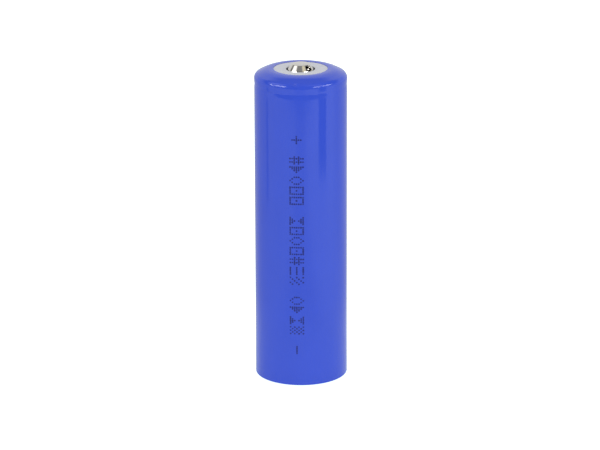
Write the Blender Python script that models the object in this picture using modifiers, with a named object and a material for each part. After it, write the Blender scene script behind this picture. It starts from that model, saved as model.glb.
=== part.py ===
"""Protected cylindrical lithium-ion cell with a raised button terminal.

The bare cell is a crimped steel can with its winding and its safety cap. A protection board sits
under the can, a nickel strip joins it to the button, and a shrink sleeve holds it all together.
The axis is Z, the origin is the centre of the negative contact's face, and +Z points to the
button. Sizes are in millimetres, and MM turns them into Blender's metres.
"""

import math

import bmesh
import bpy

MM = 0.001
MERGE_M = 1e-6  # merge distance in metres, small against walls of 0.05 mm
SEGMENTS = 32  # one count and one phase for every coaxial piece, so thin gaps stay even
ARC_STEPS = 4

# Driving sizes of the whole cell
SLEEVE_R = 10.75
BUTTON_TOP = 75.15
CAN_R = 10.5
CAN_HEIGHT = 70.0
CAN_BOTTOM = 2.6
CONTACT_GAP = 0.02  # left between faces that touch in the real cell

# Sheet and film thicknesses
SLEEVE_WALL = 0.08
CAN_WALL = 0.25
CAP_WALL = 0.25
VENT_WALL = 0.15
PTC_WALL = 0.2
GASKET_WALL = 0.22
BUTTON_WALL = 0.15
WASHER_WALL = 0.2
TAB_WALL = 0.1
STRIP_WALL = 0.06
TAPE_WALL = 0.02

# Can, bead and crimp
CAN_TOP = CAN_BOTTOM + CAN_HEIGHT
CRIMP_RADIUS = 0.9
CRIMP_LIP_R = 8.9
BEAD_Z = 70.12
BEAD_R = 9.2
BEAD_HALF_MOUTH = 0.85
BEAD_HALF_FLOOR = 0.35
BEAD_MOUTH_RADIUS = 0.38
BEAD_FLOOR_RADIUS = 0.25
CAN_FOOT_RADIUS = 0.6

# Cap stack, counted down from the crimp
STACK_R = 9.7
GASKET_TOP_LIP_R = 8.75
GASKET_FLOOR_LIP_R = 8.0
GASKET_R = CAN_R - CAN_WALL - 0.03
GASKET_TOP = CAN_TOP - CAN_WALL - CONTACT_GAP
CAP_RIM_TOP = GASKET_TOP - GASKET_WALL - CONTACT_GAP
PTC_TOP = CAP_RIM_TOP - CAP_WALL - CONTACT_GAP
VENT_RIM_TOP = PTC_TOP - PTC_WALL - CONTACT_GAP
GASKET_FLOOR_TOP = VENT_RIM_TOP - VENT_WALL - CONTACT_GAP
GASKET_BOTTOM = GASKET_FLOOR_TOP - GASKET_WALL
CAP_PLATEAU_TOP = 73.3
CAP_PLATEAU_R = 5.6
CAP_SLOPE_R = 8.1
CAP_BEND_RADIUS = 0.4
PTC_HOLE_R = 7.5
WELD_PLATE_TOP = 70.45
WELD_PLATE_WALL = 0.25
WELD_PLATE_R = 7.85
NUB_TOP = WELD_PLATE_TOP + CONTACT_GAP + VENT_WALL
NUB_R = 0.8
NUB_FLARE_R = NUB_R + 0.5
NUB_FLARE_RISE = 0.23
VENT_DISH_R = 4.5
VENT_DISH_RISE = 0.36
VENT_STEP_R = 6.9
CAP_HOLE_R = 0.5
PLATE_HOLE_R = 0.6
PLATE_HOLE_CIRCLE_R = 4.6

# Top end, counted up from the cap
FLANGE_TOP = CAP_PLATEAU_TOP + CONTACT_GAP + BUTTON_WALL
FLANGE_R = 4.6
BUTTON_FLAT_R = 1.1
BUTTON_CROWN = 0.17
BUTTON_CROWN_RADIUS = 2.5
BUTTON_RIM_R = 2.08
BUTTON_RIM_RADIUS = 0.22
BUTTON_SKIRT_R = 2.95
BUTTON_SKIRT_Z = FLANGE_TOP + 0.3
BUTTON_SKIRT_RADIUS = 0.25
BUTTON_BASE_R = 3.05
BUTTON_BASE_RADIUS = 0.12
BUTTON_WINDOW_WIDTH = 1.5
BUTTON_WINDOW_HEIGHT = 1.25
BUTTON_WINDOW_DEG = -43
STRIP_R = CAN_R + 0.07
STRIP_TOP_Z = FLANGE_TOP + 0.06
STRIP_SLOPE_START_R = 6.3
STRIP_SHOULDER_Z = 72.44
STRIP_SHOULDER_RADIUS = 0.7
STRIP_WELD_R = 3.2
STRIP_FOOT_R = 8.9
STRIP_WIDTH = 2.8
STRIP_TAPE_WIDTH = 6.0
STRIP_TAPE_BOTTOM = 3.0
STRIP_TAPE_TOP = 71.6
CRIMP_WASHER_HOLE_R = 7.2
CRIMP_WASHER_R = 9.4
CRIMP_WASHER_WALL = 0.06
WHITE_WASHER_TOP = 73.8
WHITE_WASHER_HOLE_R = 3.33
WHITE_WASHER_BEND_R = 7.0
WHITE_WASHER_R = 8.9
WHITE_WASHER_DROP = 0.5
SLEEVE_OPENING_R = 6.27
SLEEVE_LIP_Z = WHITE_WASHER_TOP + 0.12
SLEEVE_BROW_R = 8.0
SLEEVE_BROW_RADIUS = 5.0
SLEEVE_SHOULDER_Z = 72.58
SLEEVE_SHOULDER_RADIUS = 1.35
WAIST_TOP = 71.5
WAIST_BOTTOM = 68.9
WAIST_DEPTH = 0.05
WAIST_STEPS = 6

# Bottom end, counted up from the negative contact
CONTACT_WALL = 0.3
CONTACT_R = 7.5
BOARD_BOTTOM = CONTACT_WALL + 0.03
BOARD_WALL = 0.8
BOARD_R = 9.9
PARTS_Z = BOARD_BOTTOM + BOARD_WALL + 0.03
SPACER_R = 10.35
SPACER_HOLE_R = 9.5
SPACER_TOP = 2.2
BOARD_INSULATOR_WALL = 0.14
WELD_GAP = 0.05  # from a strip's middle line to the face that it is welded to
LINK_X = 5.0
LINK_WIDTH = 3.0
LINK_SLOT = 0.6
CHIP_HEIGHT = 0.9
LEAD_HEIGHT = 0.2
LEAD_REACH = 0.7
LEAD_ROOT = 0.3
SLEEVE_FOOT_Z = 0.15
SLEEVE_FOOT_RADIUS = 0.35
SLEEVE_FOOT_R = 8.4

# Winding
CAN_FLOOR = CAN_BOTTOM + CAN_WALL
ROLL_BOTTOM = 3.3
ROLL_TOP = 68.2
ROLL_START_R = 2.05
ROLL_PITCH = 1.68
ROLL_STEP_DEG = 15
ROLL_TURNS_FROM_DEG = -30
ROLL_TAPE_R = 10.03
ROLL_TAPE_WALL = 0.06
PIN_BORE_R = 1.15
PIN_R = 1.45
POSITIVE_TAB_X = 2.51
POSITIVE_TAB_START_Z = 20
POSITIVE_TAB_FOLD_Z = 69.35
POSITIVE_TAB_FOLD_X = -3.2
POSITIVE_TAB_END_X = 1.8
POSITIVE_TAB_WIDTH = 2.0
NEGATIVE_TAB_Y = -9.57
NEGATIVE_TAB_START_Z = 60
NEGATIVE_TAB_END_Y = 0.9
NEGATIVE_TAB_WIDTH = 3.0
UPPER_INSULATOR_HOLE_R = 1.7
UPPER_INSULATOR_R = 9.9
INSULATOR_HOLE_R = 1.3
INSULATOR_HOLE_CIRCLE_R = 6.2
LOWER_INSULATOR_HOLE_R = 2.2
LOWER_INSULATOR_R = 10.0

PART = "cylindrical_cell"


def new_collection(name, hidden=False):
    collection = bpy.data.collections.new(name)
    collection.hide_render = hidden
    bpy.context.scene.collection.children.link(collection)
    return collection


for old in list(bpy.data.objects):
    bpy.data.objects.remove(old, do_unlink=True)

PARTS = new_collection(PART)
CUTTERS = new_collection(PART + "_cutters", hidden=True)


def material(name, color, roughness, metallic=0.0):
    made = bpy.data.materials.new(name)
    made.use_nodes = True
    shader = made.node_tree.nodes["Principled BSDF"]
    shader.inputs["Base Color"].default_value = (*color, 1.0)
    shader.inputs["Roughness"].default_value = roughness
    shader.inputs["Metallic"].default_value = metallic
    return made


BLUE_FILM = material("blue_film", (0.06, 0.10, 0.63), 0.3)
WHITE_FIBRE = material("white_fibre", (0.68, 0.70, 0.76), 0.8)
NICKEL = material("nickel", (0.66, 0.64, 0.60), 0.25, 1.0)
NICKEL_STEEL = material("nickel_steel", (0.55, 0.55, 0.54), 0.35, 1.0)
ALUMINIUM = material("aluminium", (0.80, 0.81, 0.83), 0.35, 1.0)
POLYMER = material("polymer", (0.78, 0.78, 0.72), 0.5)
PTC_COMPOUND = material("ptc_compound", (0.05, 0.05, 0.055), 0.6)
FISH_PAPER = material("fish_paper", (0.34, 0.40, 0.34), 0.85)
POLYIMIDE = material("polyimide", (0.62, 0.32, 0.05), 0.35)
CATHODE = material("cathode_coating", (0.03, 0.03, 0.032), 0.9)
ANODE = material("anode_coating", (0.07, 0.065, 0.06), 0.75)
SEPARATOR = material("separator_film", (0.86, 0.87, 0.88), 0.55)
BOARD_LAMINATE = material("board_laminate", (0.02, 0.16, 0.06), 0.45)
CHIP_MOULD = material("chip_mould", (0.02, 0.02, 0.022), 0.55)
CHIP_CERAMIC = material("chip_ceramic", (0.36, 0.27, 0.17), 0.6)


def add_object(name, data, surface=None, collection=None):
    made = bpy.data.objects.new(name, data)
    (collection or PARTS).objects.link(made)
    if surface:
        data.materials.append(surface)
    return made


def line_mesh(name, points, closed):
    """A mesh of edges alone, in the XZ plane, from (r, z) points."""
    mesh = bpy.data.meshes.new(name)
    edges = [(i, i + 1) for i in range(len(points) - 1)]
    if closed:
        edges.append((len(points) - 1, 0))
    mesh.from_pydata([(r * MM, 0, z * MM) for r, z in points], edges, [])
    return mesh


def rounded(*corners):
    """The (r, z) points of a polyline, with an arc at each corner given as (r, z, radius)."""
    points = []
    for i, (r, z, *radius) in enumerate(corners):
        if not radius:
            points.append((r, z))
            continue
        before = math.atan2(corners[i - 1][1] - z, corners[i - 1][0] - r)
        after = math.atan2(corners[i + 1][1] - z, corners[i + 1][0] - r)
        half = ((after - before + math.pi) % math.tau - math.pi) / 2
        middle = before + half
        reach = radius[0] / math.sin(abs(half))
        centre = (r + reach * math.cos(middle), z + reach * math.sin(middle))
        sweep = math.copysign(math.pi / 2 - abs(half), half)
        for step in range(ARC_STEPS + 1):
            angle = middle + math.pi + sweep * (1 - 2 * step / ARC_STEPS)
            along, up = radius[0] * math.cos(angle), radius[0] * math.sin(angle)
            points.append((centre[0] + along, centre[1] + up))
    return points


def screw(obj, segments):
    turn = obj.modifiers.new("turn", "SCREW")
    turn.axis = "Z"
    turn.angle = math.tau
    turn.steps = turn.render_steps = segments
    turn.use_merge_vertices = True
    turn.merge_threshold = MERGE_M
    turn.use_smooth_shade = True


def turned(name, surface, points, closed=False, segments=SEGMENTS):
    """A solid of revolution. The points run down its outer side, and back up an inner one."""
    made = add_object(name, line_mesh(name, points, closed), surface)
    screw(made, segments)
    return made


def ring(name, surface, inner, outer, bottom, top, segments=SEGMENTS):
    points = [(outer, top), (outer, bottom), (inner, bottom), (inner, top)]
    return turned(name, surface, points, closed=True, segments=segments)


def disc(name, surface, radius, bottom, top):
    return turned(name, surface, [(0, top), (radius, top), (radius, bottom), (0, bottom)])


def pressed(name, surface, outer_face, wall, segments=SEGMENTS):
    """A pressed or shrunk shell: its outer face, turned, with the wall grown inwards."""
    made = turned(name, surface, outer_face, segments=segments)
    thickness = made.modifiers.new("wall", "SOLIDIFY")
    thickness.thickness = wall * MM
    thickness.offset = -1
    thickness.use_even_offset = True
    return made


def boolean(target, other, operation="DIFFERENCE"):
    cut = target.modifiers.new(other.name, "BOOLEAN")
    cut.operation = operation
    cut.object = other


def cutter_display(obj):
    obj.hide_render = True
    obj.display_type = "WIRE"
    return obj


def box_cutter(name, low, high):
    """A cutter box between two corners."""
    mesh = bpy.data.meshes.new(name)
    shape = bmesh.new()
    bmesh.ops.create_cube(shape, size=1)
    for vertex in shape.verts:
        for axis in range(3):
            middle = (low[axis] + high[axis]) / 2
            vertex.co[axis] = (middle + vertex.co[axis] * (high[axis] - low[axis])) * MM
    shape.to_mesh(mesh)
    shape.free()
    return cutter_display(add_object(name, mesh, collection=CUTTERS))


def round_cutter(name, radius, at_radius, angle_deg, bottom, top, sides=12):
    """A vertical cylinder cutter, centred at a radius and an angle round the axis."""
    mesh = bpy.data.meshes.new(name)
    shape = bmesh.new()
    bmesh.ops.create_cone(
        shape,
        cap_ends=True,
        segments=sides,
        radius1=radius * MM,
        radius2=radius * MM,
        depth=(top - bottom) * MM,
    )
    shape.to_mesh(mesh)
    shape.free()
    made = cutter_display(add_object(name, mesh, collection=CUTTERS))
    angle = math.radians(angle_deg)
    made.location = (
        at_radius * math.cos(angle) * MM,
        at_radius * math.sin(angle) * MM,
        (bottom + top) / 2 * MM,
    )
    return made


def outline(name, surface, points, width):
    """A flat outline in its own XY plane, extruded to a width and centred on that plane."""
    curve = bpy.data.curves.new(name, "CURVE")
    curve.dimensions = "2D"
    curve.fill_mode = "BOTH"
    curve.extrude = width / 2 * MM
    spline = curve.splines.new("POLY")
    spline.points.add(len(points) - 1)
    for point, (x, y) in zip(spline.points, points):
        point.co = (x * MM, y * MM, 0, 1)
    spline.use_cyclic_u = True
    return add_object(name, curve, surface)


def thickened(path, wall):
    """The closed outline of a bent strip, from its middle line and its thickness."""
    sides = ([], [])
    for i, (x, y) in enumerate(path):
        before = path[max(i - 1, 0)]
        after = path[min(i + 1, len(path) - 1)]
        ways = []
        for start, end in ((before, (x, y)), ((x, y), after)):
            length = math.dist(start, end)
            if length:
                ways.append(((end[0] - start[0]) / length, (end[1] - start[1]) / length))
        across = (-sum(way[1] for way in ways), sum(way[0] for way in ways))
        scale = wall / 2 * len(ways) / (across[0] ** 2 + across[1] ** 2)
        for side, sign in zip(sides, (1, -1)):
            side.append((x + sign * scale * across[0], y + sign * scale * across[1]))
    return sides[0] + sides[1][::-1]


def bent_strip(name, surface, path, wall, width, heading_deg=0):
    """A bent metal strip. Its path is (distance along the heading, z)."""
    made = outline(name, surface, thickened(path, wall), width)
    made.rotation_euler = (math.pi / 2, 0, math.radians(heading_deg))
    return made


# ---------------------------------------------------------------- shrink sleeve and top end


def make_sleeve():
    waist = []
    for step in range(WAIST_STEPS + 1):
        share = step / WAIST_STEPS
        dip = WAIST_DEPTH * math.sin(math.pi * share) ** 2
        waist.append((SLEEVE_R - dip, WAIST_TOP + share * (WAIST_BOTTOM - WAIST_TOP)))
    outer_face = rounded(
        (SLEEVE_OPENING_R, SLEEVE_LIP_Z),
        (SLEEVE_BROW_R, SLEEVE_LIP_Z, SLEEVE_BROW_RADIUS),
        (SLEEVE_R, SLEEVE_SHOULDER_Z, SLEEVE_SHOULDER_RADIUS),
        *waist,
        (SLEEVE_R, SLEEVE_FOOT_Z, SLEEVE_FOOT_RADIUS),
        (SLEEVE_FOOT_R, SLEEVE_FOOT_Z),
    )
    pressed("sleeve", BLUE_FILM, outer_face, SLEEVE_WALL)


def make_white_washer():
    outer_face = [
        (WHITE_WASHER_HOLE_R, WHITE_WASHER_TOP),
        (WHITE_WASHER_BEND_R, WHITE_WASHER_TOP),
        (WHITE_WASHER_R, WHITE_WASHER_TOP - WHITE_WASHER_DROP),
    ]
    pressed("top_insulating_washer", WHITE_FIBRE, outer_face, WASHER_WALL)


def make_button():
    """The button welded on the cap, with two gas windows in its flank."""
    outer_face = rounded(
        (0, BUTTON_TOP),
        (BUTTON_FLAT_R, BUTTON_TOP, BUTTON_CROWN_RADIUS),
        (BUTTON_RIM_R, BUTTON_TOP - BUTTON_CROWN, BUTTON_RIM_RADIUS),
        (BUTTON_SKIRT_R, BUTTON_SKIRT_Z, BUTTON_SKIRT_RADIUS),
        (BUTTON_BASE_R, FLANGE_TOP, BUTTON_BASE_RADIUS),
        (FLANGE_R, FLANGE_TOP),
    )
    button = pressed("button_terminal", NICKEL, outer_face, BUTTON_WALL)
    bottom, half_width = FLANGE_TOP + 0.08, BUTTON_WINDOW_WIDTH / 2
    for number, angle in enumerate((BUTTON_WINDOW_DEG, BUTTON_WINDOW_DEG + 180)):
        window = box_cutter(
            f"button_window_{number}",
            (1.2, -half_width, bottom),
            (4.0, half_width, bottom + BUTTON_WINDOW_HEIGHT),
        )
        window.rotation_euler = (0, 0, math.radians(angle))
        boolean(button, window)


def make_positive_strip():
    """Nickel strip from the button's flange, over the crimp and down the back to the board."""
    foot_z = PARTS_Z + WELD_GAP
    middle = rounded(
        (STRIP_WELD_R, STRIP_TOP_Z),
        (STRIP_SLOPE_START_R, STRIP_TOP_Z),
        (STRIP_R, STRIP_SHOULDER_Z, STRIP_SHOULDER_RADIUS),
        (STRIP_R, foot_z),
        (STRIP_FOOT_R, foot_z),
    )
    strip = turned("positive_strip", NICKEL, thickened(middle, STRIP_WALL), closed=True)
    side = STRIP_WIDTH / 2
    limits = box_cutter("positive_strip_limits", (-side, 1, 0.5), (side, SLEEVE_R, BUTTON_TOP))
    boolean(strip, limits, "INTERSECT")


def make_strip_tape():
    """Insulating tape between the strip and the can's side."""
    inner = CAN_R + 0.01
    tape = ring(
        "strip_insulating_tape",
        POLYIMIDE,
        inner,
        inner + TAPE_WALL,
        STRIP_TAPE_BOTTOM,
        STRIP_TAPE_TOP,
    )
    side = STRIP_TAPE_WIDTH / 2
    limits = box_cutter("strip_tape_limits", (-side, 1, 0), (side, SLEEVE_R, CAN_TOP))
    boolean(tape, limits, "INTERSECT")


# ---------------------------------------------------------------- can and cap


def make_can():
    outer_face = rounded(
        (CRIMP_LIP_R, CAN_TOP),
        (CAN_R, CAN_TOP, CRIMP_RADIUS),
        (CAN_R, BEAD_Z + BEAD_HALF_MOUTH, BEAD_MOUTH_RADIUS),
        (BEAD_R, BEAD_Z + BEAD_HALF_FLOOR, BEAD_FLOOR_RADIUS),
        (BEAD_R, BEAD_Z - BEAD_HALF_FLOOR, BEAD_FLOOR_RADIUS),
        (CAN_R, BEAD_Z - BEAD_HALF_MOUTH, BEAD_MOUTH_RADIUS),
        (CAN_R, CAN_BOTTOM, CAN_FOOT_RADIUS),
        (0, CAN_BOTTOM),
    )
    pressed("can", NICKEL_STEEL, outer_face, CAN_WALL)


def make_gasket():
    channel_r = STACK_R + 0.05
    points = rounded(
        (GASKET_TOP_LIP_R, GASKET_TOP),
        (GASKET_R, GASKET_TOP, CRIMP_RADIUS - CAN_WALL - 0.02),
        (GASKET_R, GASKET_BOTTOM),
        (GASKET_FLOOR_LIP_R, GASKET_BOTTOM),
        (GASKET_FLOOR_LIP_R, GASKET_FLOOR_TOP),
        (channel_r, GASKET_FLOOR_TOP),
        (channel_r, GASKET_TOP - GASKET_WALL),
        (GASKET_TOP_LIP_R, GASKET_TOP - GASKET_WALL),
    )
    turned("sealing_gasket", POLYMER, points, closed=True)


def make_positive_cap():
    """The pressed top cap, whose sloping side has four gas holes."""
    outer_face = rounded(
        (0, CAP_PLATEAU_TOP),
        (CAP_PLATEAU_R, CAP_PLATEAU_TOP, CAP_BEND_RADIUS),
        (CAP_SLOPE_R, CAP_RIM_TOP, CAP_BEND_RADIUS),
        (STACK_R, CAP_RIM_TOP),
    )
    cap = pressed("positive_cap", NICKEL_STEEL, outer_face, CAP_WALL)
    hole_circle_r = (CAP_PLATEAU_R + CAP_SLOPE_R) / 2
    bottom, top = CAP_RIM_TOP - 1, CAP_PLATEAU_TOP + 1
    for number in range(4):
        angle = 45 + 90 * number
        hole = round_cutter(f"cap_hole_{number}", CAP_HOLE_R, hole_circle_r, angle, bottom, top)
        boolean(cap, hole)


def make_ptc_ring():
    ring("ptc_ring", PTC_COMPOUND, PTC_HOLE_R, STACK_R, PTC_TOP - PTC_WALL, PTC_TOP)


def make_vent_disc():
    """The disc that snaps up under gas pressure. At rest its nub is welded to the plate below."""
    outer_face = [
        (0, NUB_TOP),
        (NUB_R, NUB_TOP),
        (NUB_FLARE_R, NUB_TOP + NUB_FLARE_RISE),
        (VENT_DISH_R, NUB_TOP + VENT_DISH_RISE),
        (VENT_STEP_R, VENT_RIM_TOP),
        (STACK_R, VENT_RIM_TOP),
    ]
    pressed("vent_disc", ALUMINIUM, outer_face, VENT_WALL)


def make_interrupter():
    """The plate that the vent disc breaks away from, and the ring that keeps them apart."""
    bottom = WELD_PLATE_TOP - WELD_PLATE_WALL
    plate = disc("interrupter_plate", ALUMINIUM, WELD_PLATE_R, bottom, WELD_PLATE_TOP)
    for number in range(6):
        hole = round_cutter(
            f"plate_hole_{number}",
            PLATE_HOLE_R,
            PLATE_HOLE_CIRCLE_R,
            60 * number,
            bottom - 0.2,
            WELD_PLATE_TOP + 0.55,
        )
        boolean(plate, hole)
    vent_rim_bottom = VENT_RIM_TOP - VENT_WALL
    ring(
        "interrupter_ring",
        POLYMER,
        VENT_STEP_R,
        WELD_PLATE_R,
        WELD_PLATE_TOP + CONTACT_GAP,
        vent_rim_bottom - 0.05,
    )


def make_crimp_washer():
    bottom = CAN_TOP + CONTACT_GAP
    ring(
        "crimp_insulating_washer",
        FISH_PAPER,
        CRIMP_WASHER_HOLE_R,
        CRIMP_WASHER_R,
        bottom,
        bottom + CRIMP_WASHER_WALL,
    )


# ---------------------------------------------------------------- winding


def spiral(name, surface, offset, wall, start_deg, end_deg, margin):
    """One wound layer. Its offset and wall are radial, and margin is how far it stops short."""
    inner, outer = [], []
    for angle_deg in range(start_deg, end_deg + 1, ROLL_STEP_DEG):
        turns = (angle_deg - ROLL_TURNS_FROM_DEG) / 360
        radius = ROLL_START_R + ROLL_PITCH * turns + offset
        way = math.cos(math.radians(angle_deg)), math.sin(math.radians(angle_deg))
        inner.append((radius * way[0], radius * way[1]))
        outer.append(((radius + wall) * way[0], (radius + wall) * way[1]))
    height = ROLL_TOP - ROLL_BOTTOM - 2 * margin
    layer = outline(name, surface, inner + outer[::-1], height)
    layer.location.z = (ROLL_TOP + ROLL_BOTTOM) / 2 * MM


def make_winding():
    """Cathode, anode and two separators, with room left at their ends for the two tabs."""
    spiral("separator_inner", SEPARATOR, 0, 0.15, -30, 1380, 0)
    spiral("cathode_sheet", CATHODE, 0.23, 0.52, 30, 1275, 0.7)
    spiral("separator_outer", SEPARATOR, 0.83, 0.15, -30, 1380, 0)
    spiral("anode_sheet", ANODE, 1.06, 0.54, -30, 1320, 0.4)
    for name, bottom, top in (("lower_roll_tape", 5, 13), ("upper_roll_tape", 58, 66)):
        ring(name, POLYIMIDE, ROLL_TAPE_R, ROLL_TAPE_R + ROLL_TAPE_WALL, bottom, top)
    ring(
        "centre_pin",
        NICKEL_STEEL,
        PIN_BORE_R,
        PIN_R,
        ROLL_BOTTOM + 0.1,
        ROLL_TOP - 0.2,
        segments=SEGMENTS // 2,
    )


def make_tabs():
    """The tabs: positive from the roll's core up to the plate, negative from its rim down."""
    weld_z = WELD_PLATE_TOP - WELD_PLATE_WALL - 0.08
    positive_path = [
        (POSITIVE_TAB_X, POSITIVE_TAB_START_Z),
        (POSITIVE_TAB_X, POSITIVE_TAB_FOLD_Z),
        (POSITIVE_TAB_FOLD_X, POSITIVE_TAB_FOLD_Z),
        (POSITIVE_TAB_FOLD_X, weld_z),
        (POSITIVE_TAB_END_X, weld_z),
    ]
    bent_strip("positive_tab", ALUMINIUM, positive_path, TAB_WALL, POSITIVE_TAB_WIDTH)
    weld_z = CAN_FLOOR + 0.07
    negative_path = [
        (NEGATIVE_TAB_Y, NEGATIVE_TAB_START_Z),
        (NEGATIVE_TAB_Y, weld_z),
        (NEGATIVE_TAB_END_Y, weld_z),
    ]
    bent_strip(
        "negative_tab", NICKEL, negative_path, TAB_WALL, NEGATIVE_TAB_WIDTH, heading_deg=90
    )


def make_roll_insulators():
    """The discs above and below the roll, open where the tabs and the gas pass."""
    upper = ring(
        "upper_insulator",
        POLYMER,
        UPPER_INSULATOR_HOLE_R,
        UPPER_INSULATOR_R,
        ROLL_TOP + 0.1,
        ROLL_TOP + 0.4,
    )
    slot = box_cutter(
        "positive_tab_slot",
        (POSITIVE_TAB_X - 0.25, -1.2, ROLL_TOP - 1),
        (POSITIVE_TAB_X + 0.3, 1.2, ROLL_TOP + 1),
    )
    boolean(upper, slot)
    for number in range(3):
        hole = round_cutter(
            f"insulator_hole_{number}",
            INSULATOR_HOLE_R,
            INSULATOR_HOLE_CIRCLE_R,
            60 + 120 * number,
            ROLL_TOP - 0.2,
            ROLL_TOP + 0.8,
        )
        boolean(upper, hole)
    lower = ring(
        "lower_insulator",
        POLYMER,
        LOWER_INSULATOR_HOLE_R,
        LOWER_INSULATOR_R,
        CAN_FLOOR + 0.15,
        CAN_FLOOR + 0.35,
    )
    notch = box_cutter("negative_tab_notch", (-1.8, -11, 2.5), (1.8, NEGATIVE_TAB_Y + 0.4, 3.5))
    boolean(lower, notch)


# ---------------------------------------------------------------- bottom end


def make_board():
    disc("negative_contact", NICKEL, CONTACT_R, 0, CONTACT_WALL)
    disc("protection_board", BOARD_LAMINATE, BOARD_R, BOARD_BOTTOM, BOARD_BOTTOM + BOARD_WALL)
    spacer = ring("board_spacer_ring", POLYMER, SPACER_HOLE_R, SPACER_R, PARTS_Z, SPACER_TOP)
    window = box_cutter("spacer_window", (-1.8, 9, 0), (1.8, 11, 3))
    boolean(spacer, window)
    bottom = SPACER_TOP + CONTACT_GAP
    insulator = disc(
        "board_insulator", FISH_PAPER, SPACER_R, bottom, bottom + BOARD_INSULATOR_WALL
    )
    side = LINK_WIDTH / 2 + 0.3
    slot = box_cutter(
        "negative_link_slot",
        (LINK_X - LINK_SLOT / 2, -side, bottom - 0.22),
        (LINK_X + LINK_SLOT / 2, side, bottom + 0.78),
    )
    boolean(insulator, slot)


def make_negative_link():
    """Folded nickel strip from the can's bottom, through the insulator, to the board."""
    weld_z, foot_z = CAN_BOTTOM - 0.09, PARTS_Z + WELD_GAP
    path = [(-3.0, weld_z), (LINK_X, weld_z), (LINK_X, foot_z), (7.2, foot_z)]
    bent_strip("negative_link", NICKEL, path, TAB_WALL, LINK_WIDTH)


def make_box(name, surface, centre, size, base_z, edge=0.05):
    """A block on the board with slightly rounded edges."""
    mesh = bpy.data.meshes.new(name)
    shape = bmesh.new()
    bmesh.ops.create_cube(shape, size=1)
    for vertex in shape.verts:
        vertex.co.x *= size[0] * MM
        vertex.co.y *= size[1] * MM
        vertex.co.z *= size[2] * MM
    shape.to_mesh(mesh)
    shape.free()
    block = add_object(name, mesh, surface)
    block.location = (centre[0] * MM, centre[1] * MM, (base_z + size[2] / 2) * MM)
    bevel = block.modifiers.new("edges", "BEVEL")
    bevel.width = edge * MM
    bevel.segments = 1
    return block


def make_chip(name, centre, size, leads_a_side, pitch):
    """A moulded chip with a row of flat leads out of each long side."""
    lead_width = pitch * 0.45
    chip = make_box(name, CHIP_MOULD, centre, size, PARTS_Z)
    for side in (-1, 1):
        for number in range(leads_a_side):
            x = centre[0] + (number - (leads_a_side - 1) / 2) * pitch
            root = centre[1] + side * (size[1] / 2 - LEAD_ROOT)
            tip = centre[1] + side * (size[1] / 2 + LEAD_REACH)
            lead = box_cutter(
                f"{name}_lead_{side}_{number}",
                (x - lead_width / 2, min(root, tip), PARTS_Z + CONTACT_GAP),
                (x + lead_width / 2, max(root, tip), PARTS_Z + CONTACT_GAP + LEAD_HEIGHT),
            )
            boolean(chip, lead, "UNION")


def make_board_parts():
    for name, y in (("switch_transistor_a", 3.3), ("switch_transistor_b", -3.3)):
        make_chip(name, (-4.4, y), (3.0, 4.4, CHIP_HEIGHT), leads_a_side=4, pitch=0.65)
    make_chip("protection_chip", (1.6, -5.4), (2.9, 1.6, CHIP_HEIGHT), leads_a_side=3, pitch=0.95)
    make_box("sense_resistor", CHIP_CERAMIC, (1.6, 5.4), (3.2, 1.6, 0.6), PARTS_Z)
    make_box("filter_capacitor", CHIP_CERAMIC, (1.2, -1.6), (1.6, 0.8, 0.8), PARTS_Z)


def main():
    make_sleeve()
    make_white_washer()
    make_button()
    make_positive_strip()
    make_strip_tape()
    make_can()
    make_gasket()
    make_positive_cap()
    make_ptc_ring()
    make_vent_disc()
    make_interrupter()
    make_crimp_washer()
    make_winding()
    make_tabs()
    make_roll_insulators()
    make_board()
    make_negative_link()
    make_board_parts()


main()
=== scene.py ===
"""Looks of a protected cylindrical cell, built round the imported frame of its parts.

Each sub-assembly is a class that holds its sizes, makes its meshes and dresses them. Lengths are
in metres, written as millimetres times MM, and Z runs from the negative contact to the button.
"""

import logging
import math
import random
from collections.abc import Callable, Sequence
from dataclasses import dataclass, field
from enum import Enum

import bmesh
import bpy
from mathutils import Matrix, Vector


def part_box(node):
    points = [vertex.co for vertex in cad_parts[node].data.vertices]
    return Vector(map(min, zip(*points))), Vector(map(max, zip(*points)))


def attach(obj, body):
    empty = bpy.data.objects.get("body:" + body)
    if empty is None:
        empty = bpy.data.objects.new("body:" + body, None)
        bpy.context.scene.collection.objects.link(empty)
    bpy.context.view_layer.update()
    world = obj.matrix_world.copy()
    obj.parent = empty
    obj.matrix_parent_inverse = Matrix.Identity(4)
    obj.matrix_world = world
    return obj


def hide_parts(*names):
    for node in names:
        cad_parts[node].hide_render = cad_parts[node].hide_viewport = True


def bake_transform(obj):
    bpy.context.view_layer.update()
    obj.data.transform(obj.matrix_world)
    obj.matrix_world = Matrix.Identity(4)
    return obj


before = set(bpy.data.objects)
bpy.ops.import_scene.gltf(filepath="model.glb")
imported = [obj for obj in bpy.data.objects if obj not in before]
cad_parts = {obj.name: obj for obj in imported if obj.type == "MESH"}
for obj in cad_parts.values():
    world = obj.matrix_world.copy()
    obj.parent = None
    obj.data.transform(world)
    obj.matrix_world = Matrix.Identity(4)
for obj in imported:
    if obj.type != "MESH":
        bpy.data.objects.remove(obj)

MM = 0.001
TAU = math.tau
SHARP_DEG = 35
CELL_BODY = "cell"

log = logging.getLogger("cell")

Point = tuple[float, float]
Warp = Callable[[float, float, float], tuple[float, float]]


# ---------------------------------------------------------------- node trees


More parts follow.
